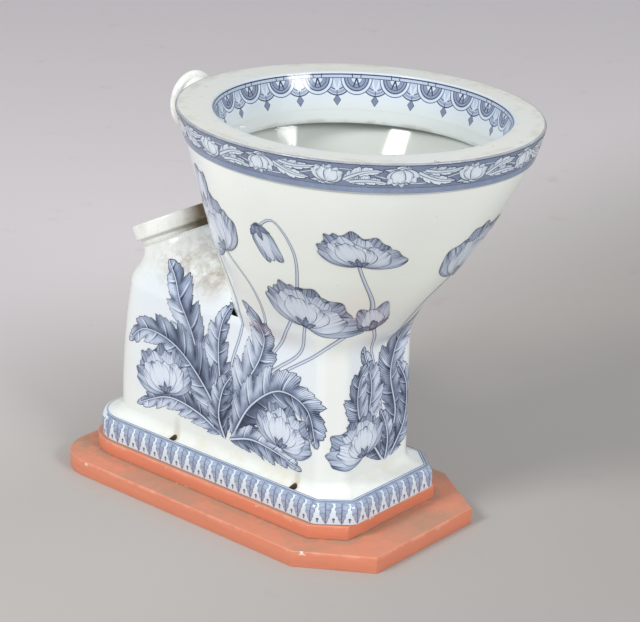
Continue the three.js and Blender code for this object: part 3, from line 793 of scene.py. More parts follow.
def smooth_line(points, steps):
    """Even steps along a Catmull-Rom curve, each span a cubic of the four points round it, and its length."""
    points = np.array(points, float)
    padded = np.concatenate([[2 * points[0] - points[1]], points, [2 * points[-1] - points[-2]]])
    before, start, end, after = (padded[k:len(padded) - 3 + k, None] for k in range(4))
    t = np.linspace(0, 1, 40)[None, :, None]
    dense = 0.5 * (
        2 * start + (end - before) * t + (2 * before - 5 * start + 4 * end - after) * t**2
        + (3 * start - before - 3 * end + after) * t**3
    ).reshape(-1, 2)
    step = np.linalg.norm(np.diff(dense, axis=0), axis=1)
    dense = dense[np.concatenate([[True], step > 1e-9])]
    length = np.concatenate([[0], np.cumsum(np.linalg.norm(np.diff(dense, axis=0), axis=1))])
    even = np.linspace(0, length[-1], steps)
    return np.stack([np.interp(even, length, dense[:, k]) for k in (0, 1)], 1), length[-1]


def directions(line):
    """Unit directions along a line and to the left of it."""
    along = np.gradient(line, axis=0)
    along /= np.linalg.norm(along, axis=1, keepdims=True)
    return along[:, None], np.stack([-along[:, 1], along[:, 0]], 1)[:, None]


class Motif:
    """A flat grid of points and what ink reads at each: distances along, across and to the edge, and more."""

    def __init__(self, flat, along, across, edge, phase, tone, share):
        shape = flat.shape[:2]
        self.flat = flat
        self.lay = np.stack([np.broadcast_to(a, shape) for a in (along, across, edge)], -1)
        self.look = np.stack([np.broadcast_to(a, shape) for a in (phase, tone, share)], -1)
        self.level = 0


def layered(motifs):
    """Numbers motifs that lie over one another, the undermost first."""
    for level, motif in enumerate(motifs):
        motif.level = level
    return motifs


def leaf(points, width, lobes=5, cut=0.42, teeth=4, sweep=0.8, tone=0.5, full=0.62):
    """A lobed leaf: half width = envelope x lobes that hook forward x teeth, with forward-swept veins."""
    rows = lobes * teeth * 5 + 1
    line, length = smooth_line(points, rows)
    along, left = directions(line)
    u = np.linspace(0, 1, rows)[:, None]
    v = np.array([[-1, -0.94, -0.82, -0.62, -0.36, -0.12, -0.03, 0.03, 0.12, 0.36, 0.62, 0.82, 0.94, 1]])
    phase = u**0.9 * lobes + np.where(v < 0, 0.45, 0)
    lobe = np.minimum((phase % 1) ** 0.55, (1 - phase % 1) * 9)
    tooth = 1 - 0.12 * (1 - (phase * teeth) % 1)
    wide = width * np.sin(np.pi * u**full) ** 0.75 * (1 - cut * (1 - lobe)) * tooth
    wide = wide * (1 + 0.12 * np.sin(5 * u + 2 * np.sign(v) + length))
    flat = line[:, None] + left * (v * wide)[..., None] + along * (sweep * np.abs(v) ** 1.5 * wide)[..., None]
    return Motif(flat, u * length, v * wide, (1 - np.abs(v)) * wide, phase, tone, u)


def petal(base, heading, length, width, tone=0.3, waves=2.0, ruffle=0.04, cup=0.22):
    """A petal: half width is a power of the distance from its base, and the far edge a wavy, hollow arc."""
    u = np.linspace(0, 1, 24)[:, None]
    v = np.linspace(-1, 1, 25)[None]
    wide = width * np.sin(QUARTER * u**0.75) ** 0.85 * (1 - 0.22 * u**3)
    reach = length * (u * (1 - cup * v**2) + ruffle * u**2 * np.sin(waves * np.pi * v + heading * 7))
    across = v * wide * (1 + 0.04 * u * np.sin(7 * u + 3 * v))
    angle = np.radians(heading)
    ahead, left = np.array([np.cos(angle), np.sin(angle)]), np.array([-np.sin(angle), np.cos(angle)])
    flat = np.array(base) + reach[..., None] * ahead + across[..., None] * left
    edge = np.minimum((1 - np.abs(v)) * wide, (1 - u) * length)
    return Motif(flat, u * length, v * wide, edge, v * width, tone, u)


def stem(points, width=4.2, tone=0.3):
    """A stem: a ribbon of even width along a curve, drawn in a little at its end."""
    line, length = smooth_line(points, 80)
    left = directions(line)[1]
    u = np.linspace(0, 1, 80)[:, None]
    v = np.array([[-1, -0.5, 0, 0.5, 1]])
    wide = np.broadcast_to(width / 2 * (1 - 0.25 * u), (80, 5))
    flat = line[:, None] + left * (v * wide)[..., None]
    return Motif(flat, u * length, v * wide, (1 - np.abs(v)) * wide, u * 0, tone, u)


def sepals(base, heading, size, tone):
    """Three short pointed leaves under a flower."""
    made = []
    for turn in (-58, 54, 0):
        angle = np.radians(heading + turn)
        ahead = np.array([np.cos(angle), np.sin(angle)])
        start = np.array(base) - 0.2 * size * ahead
        points = [start, start + 0.5 * size * ahead, start + size * ahead * 1.1]
        made.append(leaf(points, size * 0.26, lobes=2, cut=0.25, teeth=2, sweep=0.3, tone=tone + 0.35))
    return made


# Each flower's petals, the undermost first: turn off its heading, length, width and tone.
BLOOM = (
    (2, 1.0, 0.36, 0.5), (30, 1.0, 0.38, 0.42), (-30, 0.97, 0.38, 0.45), (58, 0.9, 0.34, 0.3),
    (-60, 0.88, 0.34, 0.34), (15, 0.88, 0.32, 0.2), (-17, 0.86, 0.34, 0.18), (42, 0.76, 0.34, 0.1),
    (-42, 0.75, 0.34, 0.12), (14, 0.64, 0.32, 0.04), (-18, 0.66, 0.34, 0.02),
)
BUD = ((12, 0.95, 0.27, 0.36), (-13, 1.0, 0.28, 0.26), (0, 0.86, 0.26, 0.06))
SMALL_BLOOM = (
    (0, 0.95, 0.4, 0.26), (44, 1, 0.44, 0.2), (-44, 1, 0.44, 0.22), (24, 0.8, 0.42, 0.05),
    (-26, 0.78, 0.44, 0.08),
)


def bloom(base, heading, size, tone=0.22):
    """A full double flower from the side: back petals, side petals, then those that fold over the heart."""
    petals = [
        petal(base, heading + turn, size * long, size * wide, tone + dark - 0.2, waves=1.6 + 0.5 * (i % 3))
        for i, (turn, long, wide, dark) in enumerate(BLOOM)
    ]
    return layered(petals + sepals(base, heading, size * 0.26, tone))


def bud(base, heading, size, tone=0.22):
    """A closed bell: three narrow petals and the sepals that hold them."""
    petals = [
        petal(base, heading + turn, size * long, size * wide, tone + dark - 0.15, waves=1.2, cup=0.5)
        for turn, long, wide, dark in BUD
    ]
    return layered(petals + sepals(base, heading, size * 0.42, tone))


def small_bloom(base, heading, size):
    """A little open flower for the border: a wide cup of broad petals, the two in front shorter."""
    return layered([
        petal(base, heading + turn, size * long, size * wide, dark, ruffle=0.07)
        for turn, long, wide, dark in SMALL_BLOOM
    ])


def stripe(around, low, high, tone, rows=3, steps=720):
    """A band of one tone that runs right round, as one motif."""
    s, z = np.meshgrid(np.linspace(0, around, steps + 1), np.linspace(low, high, rows), indexing="ij")
    along = s.copy()
    s[-1] = s[0]
    half = (high - low) / 2
    across = z - low - half
    return Motif(np.stack([s, z], -1), along, across, half - np.abs(across), along, tone, 0 * z)


def print_piece(name, motifs, carry, material, first=0):
    """Lays motifs on the ware, each as high as its level asks, and gives each a cell of one square map."""
    across = int(np.ceil(np.sqrt(len(motifs))))
    parts, uvs = [], []
    for i, motif in enumerate(motifs):
        grid = carry(motif.flat, PRINT_LIFT + PRINT_STEP * (first + motif.level))
        rows, columns = grid.shape[:2]
        quads = grid_faces(rows, columns, round_columns=False)
        side = np.cross(grid[1:, :-1] - grid[:-1, :-1], grid[:-1, 1:] - grid[:-1, :-1])
        if (side * (grid[:-1, :-1] - [0, WARE_MIDDLE, 0]) * [1, 1, 0]).sum() > 0:
            quads = quads[:, ::-1]
        parts.append((grid.reshape(-1, 3), quads))
        share = [np.linspace(CELL_MARGIN, 1 - CELL_MARGIN, count) for count in (rows, columns)]
        u, v = np.meshgrid(*share, indexing="ij")
        uvs.append((np.stack([u + i % across, v + i // across], -1) / across).reshape(-1, 2))
    points, faces = joined(parts)
    obj = piece(name, (points, faces), material, uv=np.concatenate(uvs)[faces])
    for title in ("lay", "look"):
        values = np.concatenate([getattr(motif, title).reshape(-1, 3) for motif in motifs])
        layer = obj.data.attributes.new(title, "FLOAT_VECTOR", "POINT")
        layer.data.foreach_set("vector", values.astype(np.float32).ravel())


# Colours

RIM_WHITE = paint(220, 226, 225)
# Floor paper: painted shade near the camera, painted light far off.
FLOOR_SHADED_NEAR = paint(170, 166, 162)
FLOOR_MIDDLE = paint(184, 180, 175)
FLOOR_LIT_FAR = (234, 228, 229)
INK_STOPS = stops(
    (0, 226, 236, 248), (0.22, 192, 205, 226), (0.48, 130, 143, 169), (0.75, 76, 88, 113), (1, 36, 44, 64),
)
WHITE_STOPS = stops((0, 224, 234, 243), (0.35, 190, 203, 218), (0.65, 132, 145, 166), (1, 60, 70, 92))
STRIPE_STOPS = stops((0, 214, 226, 242), (0.4, 133, 148, 175), (1, 60, 70, 92))


# Finishes

def glaze_finish(name, cool, warm, marks_and_shade=None):
    """Thick glossy glaze, warmer towards the top and there painted lighter outside, with pinholes over any
    marks and painted shade.
    """
    f = Finish(name)
    x, y, height = f.axes()
    # Towards the top the glaze takes its second paint: a warmer tone and, on the outer glaze, a brighter one
    # as painted light on the cone.
    warmth_and_painted_light = height.step(0.19, 0.34) * 0.8 + f.noise(6, 2).step(0.35, 0.7) * 0.35
    f.colour = f.mix(warmth_and_painted_light.low(1), cool, warm)
    rough = f.noise(15, 2) * 0.06 + 0.07
    if marks_and_shade:
        rough = rough + marks_and_shade(f, abs(x), y, height)
    specks = f.noise(420, 1).step(0.77, 0.82) * f.noise(24, 1).step(0.48, 0.6)
    f.lay(specks * 0.8, 84, 76, 68)
    return f.done(rough, f.noise(14, 2), IOR=1.5)


def outer_marks_and_shade(f, reach, y, height):
    """Blue where the prints lie, brown film and dirt on the hump and behind the bowl, painted shade up the
    rear and, with grime, in the holes.
    """
    side = reach.step(0.03, 0.07) * y.step(-0.15, -0.11)
    front = y.step(-0.14, -0.156) * reach.step(0.06, 0.04)
    printed = height.step(0.075, 0.115) * height.step(0.3, 0.2) * y.step(0.17, 0.12) * side.high(front)
    f.lay((printed * (f.noise(9, 2) * 0.8 + 0.35)).low(1), 232, 241, 250)
    cove = height.line(0.066, 0.016, 0.45) * f.noise(22, 4, 0.6).step(0.42, 0.7)
    f.lay(cove * 0.4, 216, 202, 168)
    hump = y.step(0.005, 0.04) * height.step(0.225, 0.262) * height.step(0.34, 0.3)
    spots = f.noise(26, 5, 0.7).step(0.32, 0.6) * 0.6 + f.noise(110, 4, 0.7).step(0.4, 0.6) * 0.5
    dirt = (hump * y.step(0.16, 0.08) * spots).low(1)
    f.lay(dirt * 0.72, 156, 134, 108)
    film = y.step(0.0, 0.04) * height.step(0.2, 0.3) * f.noise(11, 4, 0.6).step(0.5, 0.75)
    f.lay(film * 0.25, 206, 194, 172)
    # Painted shade: a blue-grey tint over the upper rear of the cone and the hump.
    f.lay(y.step(-0.07, 0.02) * height.step(0.25, 0.3) * 0.6, 222, 230, 235)
    f.lay(height.step(0.0612, 0.0606), 224, 236, 246)
    along = abs(y - HOLE_FRONT * MM).low(abs(y - HOLE_REAR * MM))
    beside = reach - HOLE_X * MM
    ring = (along * along + beside * beside).root()
    low = height.step(0.09, 0.08)
    stain = ring.step(0.010, 0.004) * f.noise(90, 4, 0.7).step(0.35, 0.6) * low
    f.lay(stain * 0.5, 176, 152, 112)
    # The holes' insides painted dark brown: part grime, part painted shade of the recess.
    dark = ring.step((HOLE_RADIUS + 0.5) * MM, (HOLE_RADIUS + 0.05) * MM) * low
    f.lay(dark, 84, 70, 54)
    return dirt * 0.3 + dark * 0.4


def outwardness(plan, x, y):
    """1 on an oval plan, less inside it and more outside."""
    half, length, middle = (float(v) * MM for v in plan)
    oval_x = x / half
    oval_y = (y - middle) / length
    return (oval_x * oval_x + oval_y * oval_y).root()


def rim_finish():
    """Rim glaze: glossy white walls, and a matt cream-grey top with dirt, blue tint and a thin slate edge."""
    f = Finish("rim_glaze")
    x, y, height = f.axes()
    flat = f.axes(f.normal())[2].step(0.9, 0.99)
    f.colour = f.mix(flat * f.noise(18, 5, 0.6).step(0.2, 0.6), RIM_WHITE, paint(224, 225, 218))
    outward = outwardness(RIM, x, y)
    top = height.step(0.4655, 0.4675)
    edge = outward.step(0.986, 0.991) * top
    f.lay(edge * (f.noise(26, 4, 0.7).step(0.2, 0.6) * 0.5 + 0.45), 148, 154, 166)
    tint = outwardness(OPENING, x, y).line(1.0, 0.05) * f.noise(12, 3).step(0.3, 0.6)
    f.lay(tint * 0.5, 204, 218, 234)
    band = outward.line(0.965, 0.05, 0.4) * top * f.noise(40, 5, 0.7).step(0.42, 0.68)
    grime = (flat * f.noise(45, 5, 0.7).step(0.54, 0.74)).high(band)
    f.lay(grime * 0.42, 182, 172, 156)
    specks = flat * f.noise(260, 2).step(0.72, 0.79)
    f.lay(specks * 0.6, 112, 102, 92)
    nicks = flat * f.noise(75, 2, 0.6).step(0.69, 0.75)
    f.lay(nicks * 0.55, 142, 112, 88)
    lip = height.line((RIM_TOP - LIP_DROP + 1) * MM, 0.005, 0.4) * f.noise(30, 4, 0.6).step(0.45, 0.65)
    f.lay(lip * 0.35, 160, 142, 114)
    return f.done(0.09 + flat * 0.26 + grime * 0.2, f.noise(30, 3), 0.0004)


def stained_finish():
    """Collar and horn: white glaze with a brown film where dust settles beside the bowl, and crackle."""
    f = Finish("glaze_stained")
    x, y, height = f.axes()
    near = y.step(0.165, 0.11) * height.step(0.38, 0.36)
    right = x.step(-0.05, -0.005)
    stain = f.noise(24, 5, 0.65).step(0.5, 0.74)
    dirt = (near * right * (f.noise(30, 4, 0.6).step(0.2, 0.5) * 0.7 + 0.4) + stain * 0.2).low(1)
    f.colour = f.mix(dirt, paint(248, 250, 244), paint(108, 92, 70))
    cells = f.add("ShaderNodeTexVoronoi", {"feature": "DISTANCE_TO_EDGE"}, {"Vector": f.place, "Scale": 160})
    f.lay(cells.step(0.03, 0.01) * 0.14, 130, 112, 90)
    return f.done(0.16 + dirt * 0.5, f.noise(30, 3))


def beyond_upper_board(x, y):
    """Distance in metres outside the upper board's plan, below 0 within it."""
    half, front, rear, cut_x, cut_y, *_ = (value * MM for value in UPPER_BOARD.values())
    slant = float(np.hypot(cut_x, cut_y))
    corner = (abs(x) - half) * (cut_y / slant) + ((front + cut_y) - y) * (cut_x / slant)
    return (abs(x) - half).high(front - y).high(y - rear).high(corner)


def terracotta_finish():
    """Matt terracotta paint: brush marks, painted shade on the faces that look forward, dust on top and by
    the upper board, chips and scuffs at edges.
    """
    f = Finish("paint_terracotta")
    x, y, height = f.axes()
    _, front, up = f.axes(f.normal())
    flat = up.step(0.7, 0.95)
    streaks = f.add("ShaderNodeMapping", {}, {0: f.place, 3: (1.0, 0.25, 3.0)})
    f.colour = f.mix(f.noise(40, 4, 0.6, streaks), paint(235, 149, 117), paint(217, 130, 100))
    # Painted shade: faces that look forward are darker.
    f.lay(front.step(-0.3, -0.8) * 0.35, 206, 122, 94)
    dust = f.noise(9, 5, 0.6).step(0.38, 0.58) * 0.55 + f.noise(55, 4, 0.7).step(0.45, 0.65) * 0.2
    dust = flat * (dust + 0.22)
    beyond = beyond_upper_board(x, y)
    on_lower = height.step((LOWER_TOP + 2.5) * MM, (LOWER_TOP + 0.5) * MM) * height.step(0.016, 0.018)
    line = beyond.step(0.022, 0.002) * on_lower
    ledge = flat * height.step(0.033, 0.0345) * beyond.step(-0.001, -0.004)
    settled = f.noise(60, 4, 0.7).step(0.28, 0.54)
    dust = dust.high(line * settled).high(ledge * settled * 0.85)
    f.lay(dust * 0.76, 160, 138, 117)
    edges = height.line((UPPER_TOP - 1) * MM, 0.005).high(height.line((LOWER_TOP - 1) * MM, 0.005))
    edge = edges * up.step(0.98, 0.8)
    scuff = edge * f.noise(30, 4, 0.7).step(0.46, 0.62)
    f.lay(scuff * 0.45, 240, 174, 146)
    chip = edge * f.noise(45, 3, 0.6).step(0.635, 0.665)
    specks = f.noise(180, 1).step(0.79, 0.82) * 0.5
    f.lay(chip.high(specks), 234, 226, 212)
    return f.done(0.5 + dust * 0.35, f.noise(60, 4, 0.6, streaks) - chip * 0.8, 0.0006)


def mottled_finish(name, scale, light, dark, roughness, **values):
    """A plain material whose colour drifts between two tones."""
    f = Finish(name)
    f.colour = f.mix(f.noise(scale, 3), paint(*light), paint(*dark))
    return f.done(roughness, **values)


def backdrop_finish():
    """Pale grey paper, with painted shade towards the lower right of the picture and near the camera, and
    painted light, lightest far to the left.
    """
    f = Finish("floor_paper")
    x, y, _ = f.axes()
    right = x * 0.66 - y * 0.75
    away = x * 0.75 + y * 0.66 - right * 0.9
    # Painted shade near the camera and to the lower right, where the pan's shadow falls, and painted light
    # far off.
    f.colour = f.mix(away.step(-0.7, 0.0), FLOOR_SHADED_NEAR, FLOOR_MIDDLE)
    f.lay(away.step(0.15, 1.05), *FLOOR_LIT_FAR)
    f.lay(f.noise(14, 4, 0.6).step(0.62, 0.8) * 0.2, 150, 140, 130)
    flecks = f.noise(190, 1).step(0.8, 0.84) * f.noise(5, 2).step(0.45, 0.6)
    f.lay(flecks * 0.6, 110, 102, 96)
    return f.done(0.7)


# Inks

class Ink(Finish):
    """Printed ink under the glaze: reads what each motif says of its points, and turns tone into colour."""

    def __init__(self, name):
        super().__init__(name)
        lay, look = (
            self.add("ShaderNodeAttribute", {"attribute_name": title}, {}, "Vector")
            for title in ("lay", "look")
        )
        self.along, self.across, self.edge = self.axes(lay)
        self.phase, self.tone, self.share = self.axes(look)

    def streaks(self, across, along):
        """Noise drawn out along the motif."""
        parts = {0: self.phase * across, 1: self.along * along, 2: self.tone * 9}
        return self.noise(1.0, 2, 0.6, self.add("ShaderNodeCombineXYZ", {}, parts))

    def inked(self, tone, ramp=INK_STOPS):
        """Turns a tone, with a fine grain, into the ramp's colour under glossy glaze."""
        grain = self.noise(900, 2) * 0.16 - 0.08
        self.colour = self.add("ShaderNodeValToRGB", {"stops": ramp}, {0: tone + grain})
        return self.done(0.12, self.noise(14, 2), 0.0006)


def leaf_ink(name, ramp=INK_STOPS, outline=0.8):
    """Leaves: dark by the rib and in the notches, one half in shade, pale rib and veins, fine hatching."""
    f = Ink(name)
    lobe = f.phase.fraction()
    spread = abs(f.across) / (abs(f.across) + f.edge + 0.01)
    side = f.across.step(-0.4, 0.4)
    shade = f.share.step(0.55, 0.0) * 0.16 + spread.step(0.55, 0.0) * 0.34 + side * 0.2
    notch = (lobe.step(0.36, 0.0) + lobe.step(0.84, 1.0) * 0.7) * spread.step(0.16, 0.75)
    shade = shade + notch * 0.42 + (f.noise(45, 2) - 0.5) * 0.6
    fold = (f.streaks(0.9, 0.03) - 0.5) * 0.6
    tone = f.tone - 0.26 + shade * 1.1 + fold
    lines = (f.along / 1.9 + spread * 0.9).wave() * 0.5
    tone = tone + lines * (0.2 + spread.step(0.2, 0.9) * 0.22)
    vein = lobe.line(0.7, 0.06) * spread.step(0.95, 0.6)
    tone = tone - vein * 0.3 + lobe.line(0.62, 0.07) * spread.step(0.95, 0.5) * 0.28
    from_rib = abs(f.across) / (1.5 - f.share * 0.9)
    rib = from_rib.step(1.0, 0.6)
    tone = tone.high(from_rib.line(1.2, 0.6) * 0.9)
    tone = tone * (1 - rib) + 0.14 * rib
    tone = tone.high(f.edge.step(outline, outline * 0.44) * 0.95)
    return f.inked(tone, ramp)


def petal_ink(name, ramp=INK_STOPS, outline=0.7):
    """Petals: pale, with fine lines and folds out from the base, darker in the hollow and at the far edge."""
    f = Ink(name)
    folds = f.streaks(0.3, 0.012).step(0.42, 0.66)
    lines = f.streaks(1.6, 0.02).step(0.48, 0.6)
    base = f.share.step(0.5, 0.0)
    tip = f.share.step(0.66, 1.0)
    tone = f.tone - 0.16 + folds * (0.12 + tip * 0.34) + lines * (0.1 + base * 0.5 + tip * 0.26) + base * 0.16
    tone = tone + (f.phase / 1.8 + f.share * 0.6).wave() * (0.03 + base * 0.1 + tip * 0.12 * folds)
    tone = tone + f.edge.step(3.0, 0.5) * 0.1
    tone = tone.high(f.edge.step(outline, outline * 0.4) * 0.92)
    return f.inked(tone, ramp)


def stem_ink(name, ramp=INK_STOPS):
    """Stems: pale in the middle, a dark line down each side, the lower one heavier."""
    f = Ink(name)
    shade = f.across.step(0.1, -0.9) * 0.24
    tone = (f.tone - 0.2 + shade).high(f.edge.step(0.55, 0.25) * 0.85)
    return f.inked(tone, ramp)


def tip_ink():
    """The foot's leaf tips: an even wash, a darker middle, thin side veins and a dark outline."""
    f = Ink("ink_foot_tips")
    middle = abs(f.across).step(0.9, 0.2)
    veins = f.phase.fraction().line(0.55, 0.12) * 0.14
    tone = 0.36 + middle * 0.26 + veins + (f.noise(120, 3) - 0.5) * 0.3
    return f.inked(tone.high(f.edge.step(0.5, 0.16) * 0.85))


def ground_ink(name, ramp=INK_STOPS):
    """Even washes and lines, a little mottled."""
    f = Ink(name)
    mottle = (f.noise(60, 4, 0.7) - 0.5) * 0.22
    return f.inked(f.tone + mottle, ramp)


def fan_tone(x, y, r):
    """One fan: a dark ground with pale and dark rings round its middle, rays, and spokes on a pale heart."""
    tone = 0.48 - r.line(15.7, 2.6, 0.15) * 0.4 + r.line(17.9, 1.0) * 0.6
    tone = tone + r.line(13.4, 0.9) * 0.45 + r.line(10.2, 0.8) * 0.3
    heart = r.step(6.2, 5.8)
    spokes = (x - (y - LACE_LINE) * 0.36).line(0.0, 1.7) * r.step(10.0, 9.6)
    tone = tone * (1 - heart) + heart * 0.08
    tone = tone.high(spokes * 0.98) + r.line(6.0, 0.6) * 0.3
    return tone + (x / (y + 2) * 30).wave() * r.line(11.8, 3.0, 0.4) * 0.14


def lace_ink():
    """Fans on a pitch with diamonds hung between: rings round each fan's middle, and lines along the top."""
    f = Ink("ink_lace")
    x = abs((f.along / LACE_PITCH).fraction() - 0.5) * LACE_PITCH
    y = f.across
    far = LACE_PITCH / 2 - x
    down = (y - LACE_LINE) * 0.9
    r = (x * x + down * down * 1.25).root()
    q = (far * far + down * down * 1.1).root()
    below = y.step(LACE_LINE - 0.2, LACE_LINE + 0.1)
    fan = r.step(FAN_EDGE + 0.2, FAN_EDGE - 0.2) * below
    open_space = 1 - fan
    between = q.step(17.6, 17.2) * below * open_space
    tone = between * 0.3 + q.line(17.4, 1.0) * open_space + between * q.line(11.5, 0.9) * 0.6
    tone = tone + between * q.line(14.4, 2.2) * 0.14
    petals = abs(far - (19.5 - y) * 0.34).step(1.5, 0.9) * y.step(18.5, 16.5)
    petals = petals * y.step(LACE_LINE, 5.4) * open_space
    tone = tone * (1 - petals) + petals * 0.04
    tone = tone * open_space + fan_tone(x, y, r) * fan
    diamond = far / 4.2 + abs(y - 28.0) / 5.8
    tone = tone.high(diamond.step(1.05, 0.98) * 0.55).high(diamond.line(1.0, 0.18) * 0.9)
    tone = tone.high(far.step(0.6, 0.3) * y.line(20.5, 6, 0.02) * 0.9)
    tone = tone.high(y.line(0.9, 1.3) * 0.98).high(y.line(2.8, 2.6, 0.1) * 0.3)
    tone = tone.high(y.line(LACE_LINE, 0.8) * 0.9)
    haze = y.step(LACE_DEPTH, 20) * 0.035
    pale = [(0.0, RIM_WHITE), (0.05, paint(212, 224, 236))]
    return f.inked(tone + haze, pale + [(0.1 + 0.9 * s, colour) for s, colour in INK_STOPS[1:]])


# The prints on the ware

def leaves(*rows):
    """Leaves from rows of width, lobes, tone and points."""
    return layered([leaf(points, width, lobes, tone=tone) for width, lobes, tone, *points in rows])


def stems(*rows):
    """Stems from rows of width and points."""
    return layered([stem(points, width) for width, *points in rows])


def side_spray():
    """Leaves, stems and flowers that spring from one root low on the casing. Places are (y, z)."""
    back = leaves(
        (33, 6, 0.42, (6, 92), (34, 146), (56, 200), (82, 240), (110, 262)),
        (30, 6, 0.4, (-4, 92), (-22, 146), (-50, 196), (-56, 236), (-36, 262)),
        (23, 6, 0.44, (8, 86), (46, 102), (92, 106), (142, 84)),
        (24, 6, 0.5, (0, 92), (10, 150), (12, 200), (-2, 246)),
    )
    front = leaves(
        (34, 7, 0.48, (4, 90), (32, 134), (78, 172), (126, 180), (156, 158)),
        (34, 7, 0.52, (-8, 88), (-36, 134), (-78, 164), (-118, 154), (-132, 112)),
        (20, 5, 0.42, (-4, 84), (-38, 94), (-76, 90), (-112, 80)),
        (20, 4, 0.56, (2, 82), (12, 108), (6, 140), (-8, 162)),
    )
    stalks = stems(
        (4.2, (-4, 100), (-30, 170), (-66, 236), (-66, 290), (-34, 330)),
        (3.8, (-6, 100), (-50, 180), (-92, 236), (-126, 290), (-146, 350), (-134, 388), (-108, 376)),
        (3.8, (0, 100), (-6, 170), (-24, 240), (-2, 330), (-14, 372)),
        (3.8, (-8, 100), (-70, 176), (-136, 226), (-190, 284), (-206, 350)),
        (4.2, (-8, 100), (-60, 176), (-106, 216), (-124, 258)),
        (4.2, (4, 92), (40, 112), (74, 108), (94, 116)),
        (4.2, (-8, 92), (-36, 108), (-66, 100), (-80, 104)),
    )
    flowers = [
        *bloom((-34, 326), 62, 66), *bud((-108, 377), 256, 46), *bud((-14, 370), 98, 50),
        *bloom((-206, 346), 96, 43), *bloom((-124, 256), 112, 58), *bloom((94, 112), 78, 56),
        *bloom((-80, 100), 106, 52),
    ]
    return stalks, back, front, flowers


def front_spray():
    """A tall spray on the front. Places are (x, z)."""
    back = leaves(
        (28, 7, 0.45, (14, 84), (28, 130), (18, 184), (40, 236), (80, 274)),
        (22, 6, 0.42, (4, 84), (-18, 122), (-14, 176), (-32, 226)),
    )
    front = leaves(
        (24, 6, 0.52, (8, 80), (-14, 112), (-34, 146), (-34, 184), (-14, 204)),
        (22, 5, 0.48, (20, 80), (44, 116), (46, 158), (28, 192)),
        (15, 4, 0.54, (12, 78), (16, 100), (12, 122), (2, 142)),
    )
    stalks = stems(
        (4.2, (14, 90), (24, 160), (12, 226), (6, 280), (22, 318)),
        (4.2, (12, 90), (0, 160), (-18, 220), (-40, 256)),
        (4.2, (10, 86), (-10, 102), (-26, 100)),
    )
    flowers = [*bloom((22, 314), 72, 70), *bud((-40, 254), 122, 42), *bloom((-24, 96), 112, 50)]
    return stalks, back, front, flowers


SPRAY_TITLES = ("stems", "leaves_behind", "leaves", "flowers")
SPRAY_LEVELS = (0, 6, 10, 14)


def lay_spray(name, spray, carry, inks):
    """Four printed pieces, the stems undermost and the flowers on top."""
    leaf_inks, petal_inks, stem_inks = inks
    layers = (stem_inks, leaf_inks, leaf_inks, petal_inks)
    for title, first, motifs, ink in zip(SPRAY_TITLES, SPRAY_LEVELS, spray, layers):
        print_piece(f"{name}_{title}", motifs, carry, ink, first=first)


def border_piece(name, motifs, carry, material, lift=None, first=0):
    """A printed piece of a border, at its own even height over the ware where a lift is given."""
    def lifted(flat, height):
        return carry(flat, height if lift is None else lift)
    print_piece(name, motifs, lifted, material, first)


# The rim border's leaves: width, lobes, tone, and points as (distance along, distance from the middle).
SCROLL_LEAVES = (
    (8, 4, 0.16, (36, -5), (48, 1), (60, 5), (76, 6)),
    (6.5, 4, 0.24, (42, -7), (54, -5), (68, -5), (84, -8)),
    (5, 3, 0.3, (30, -8), (22, -9), (14, -7), (2, -8)),
)


def scroll_leaves(s, up):
    """The leaves of one repeat, on the stem's upper or lower side."""
    return layered([
        leaf([(s + x, SCROLL_MIDDLE + z * up) for x, z in points], width, lobes, 0.34, 2, 0.5, tone)
        for width, lobes, tone, *points in SCROLL_LEAVES
    ])


def rim_border(inks):
    """A scrolling stem of pale leaves and flowers on a slate ground, over a plain stripe."""
    leaf_inks, petal_inks, stem_inks, ground, stripes = inks
    around = RIM_AROUND[-1]
    top = RIM_BAND - RIM_EDGE
    bands = [stripe(around, *band) for band in ((1.9, 8.2, 0.4), (top - 0.9, top, 0.95), (7.9, 8.5, 0.85))]
    border_piece("rim_stripes", bands, on_rim, stripes, 0.14)
    border_piece("rim_ground", [stripe(around, 8.2, top - 0.5, 0.52)], on_rim, ground, 0.12)
    pitch = around / SCROLL_REPEATS
    foliage, flowers = [], []
    for k in range(SCROLL_REPEATS):
        up = 1 if k % 2 else -1
        foliage += scroll_leaves(k * pitch, up)
        flowers += small_bloom((k * pitch + 20, SCROLL_MIDDLE - 8 * up), 84 * up, 20)
    turns = np.linspace(0, SCROLL_REPEATS, SCROLL_REPEATS * 4 + 1)
    wave = [(pitch * t, SCROLL_MIDDLE - 7 * np.sin(np.pi * t)) for t in turns]
    scroll = [stem(wave[4 * k:4 * k + 9], 1.8, 0.12) for k in range(0, SCROLL_REPEATS, 2)]

    def held(flat, lift):
        """Keeps what runs over the edge of the ground on its line."""
        return on_rim(np.stack([flat[..., 0], np.clip(flat[..., 1], 8.7, top - 1)], -1), lift)

    border_piece("rim_scroll_stems", scroll, held, stem_inks)
    border_piece("rim_scroll_leaves", foliage, held, leaf_inks, first=1)
    border_piece("rim_scroll_flowers", flowers, held, petal_inks, first=4)


def foot_border(tip_inks, petal_inks, ground):
    """Jagged leaf tips that hang from a stripe, small drops between them, and a double line on the round."""
    around = FOOT_AROUND[-1]
    pitch = around / TIP_REPEATS
    tips, drops = [], []
    for k in range(TIP_REPEATS):
        s = k * pitch
        middle = [(s, 27.2), (s, 15), (s, 1.6)]
        tips.append(leaf(middle, 8.9, 4, cut=0.22, teeth=1, sweep=0.2, tone=0.4, full=0.34))
        tips[-1].level = k % 2
        drops.append(petal((s + pitch / 2, 8.6), 270, 5.4, 1.6, 0.4, waves=1, ruffle=0.0, cup=0.7))
    border_piece("foot_leaf_tips", tips, on_foot, tip_inks)
    border_piece("foot_drops", drops, on_foot, petal_inks)
    border_piece("foot_stripe", [stripe(around, 25.4, 27.6, 0.42, 5)], on_foot, ground, PRINT_LIFT + 0.1)
    lines = [stripe(around, *line) for line in ((27.7, 28.3, 0.9), (28.3, 30.3, 0.3, 5), (30.3, 30.9, 0.9))]
    border_piece("foot_roll_lines", lines, on_foot, ground, 0.25)


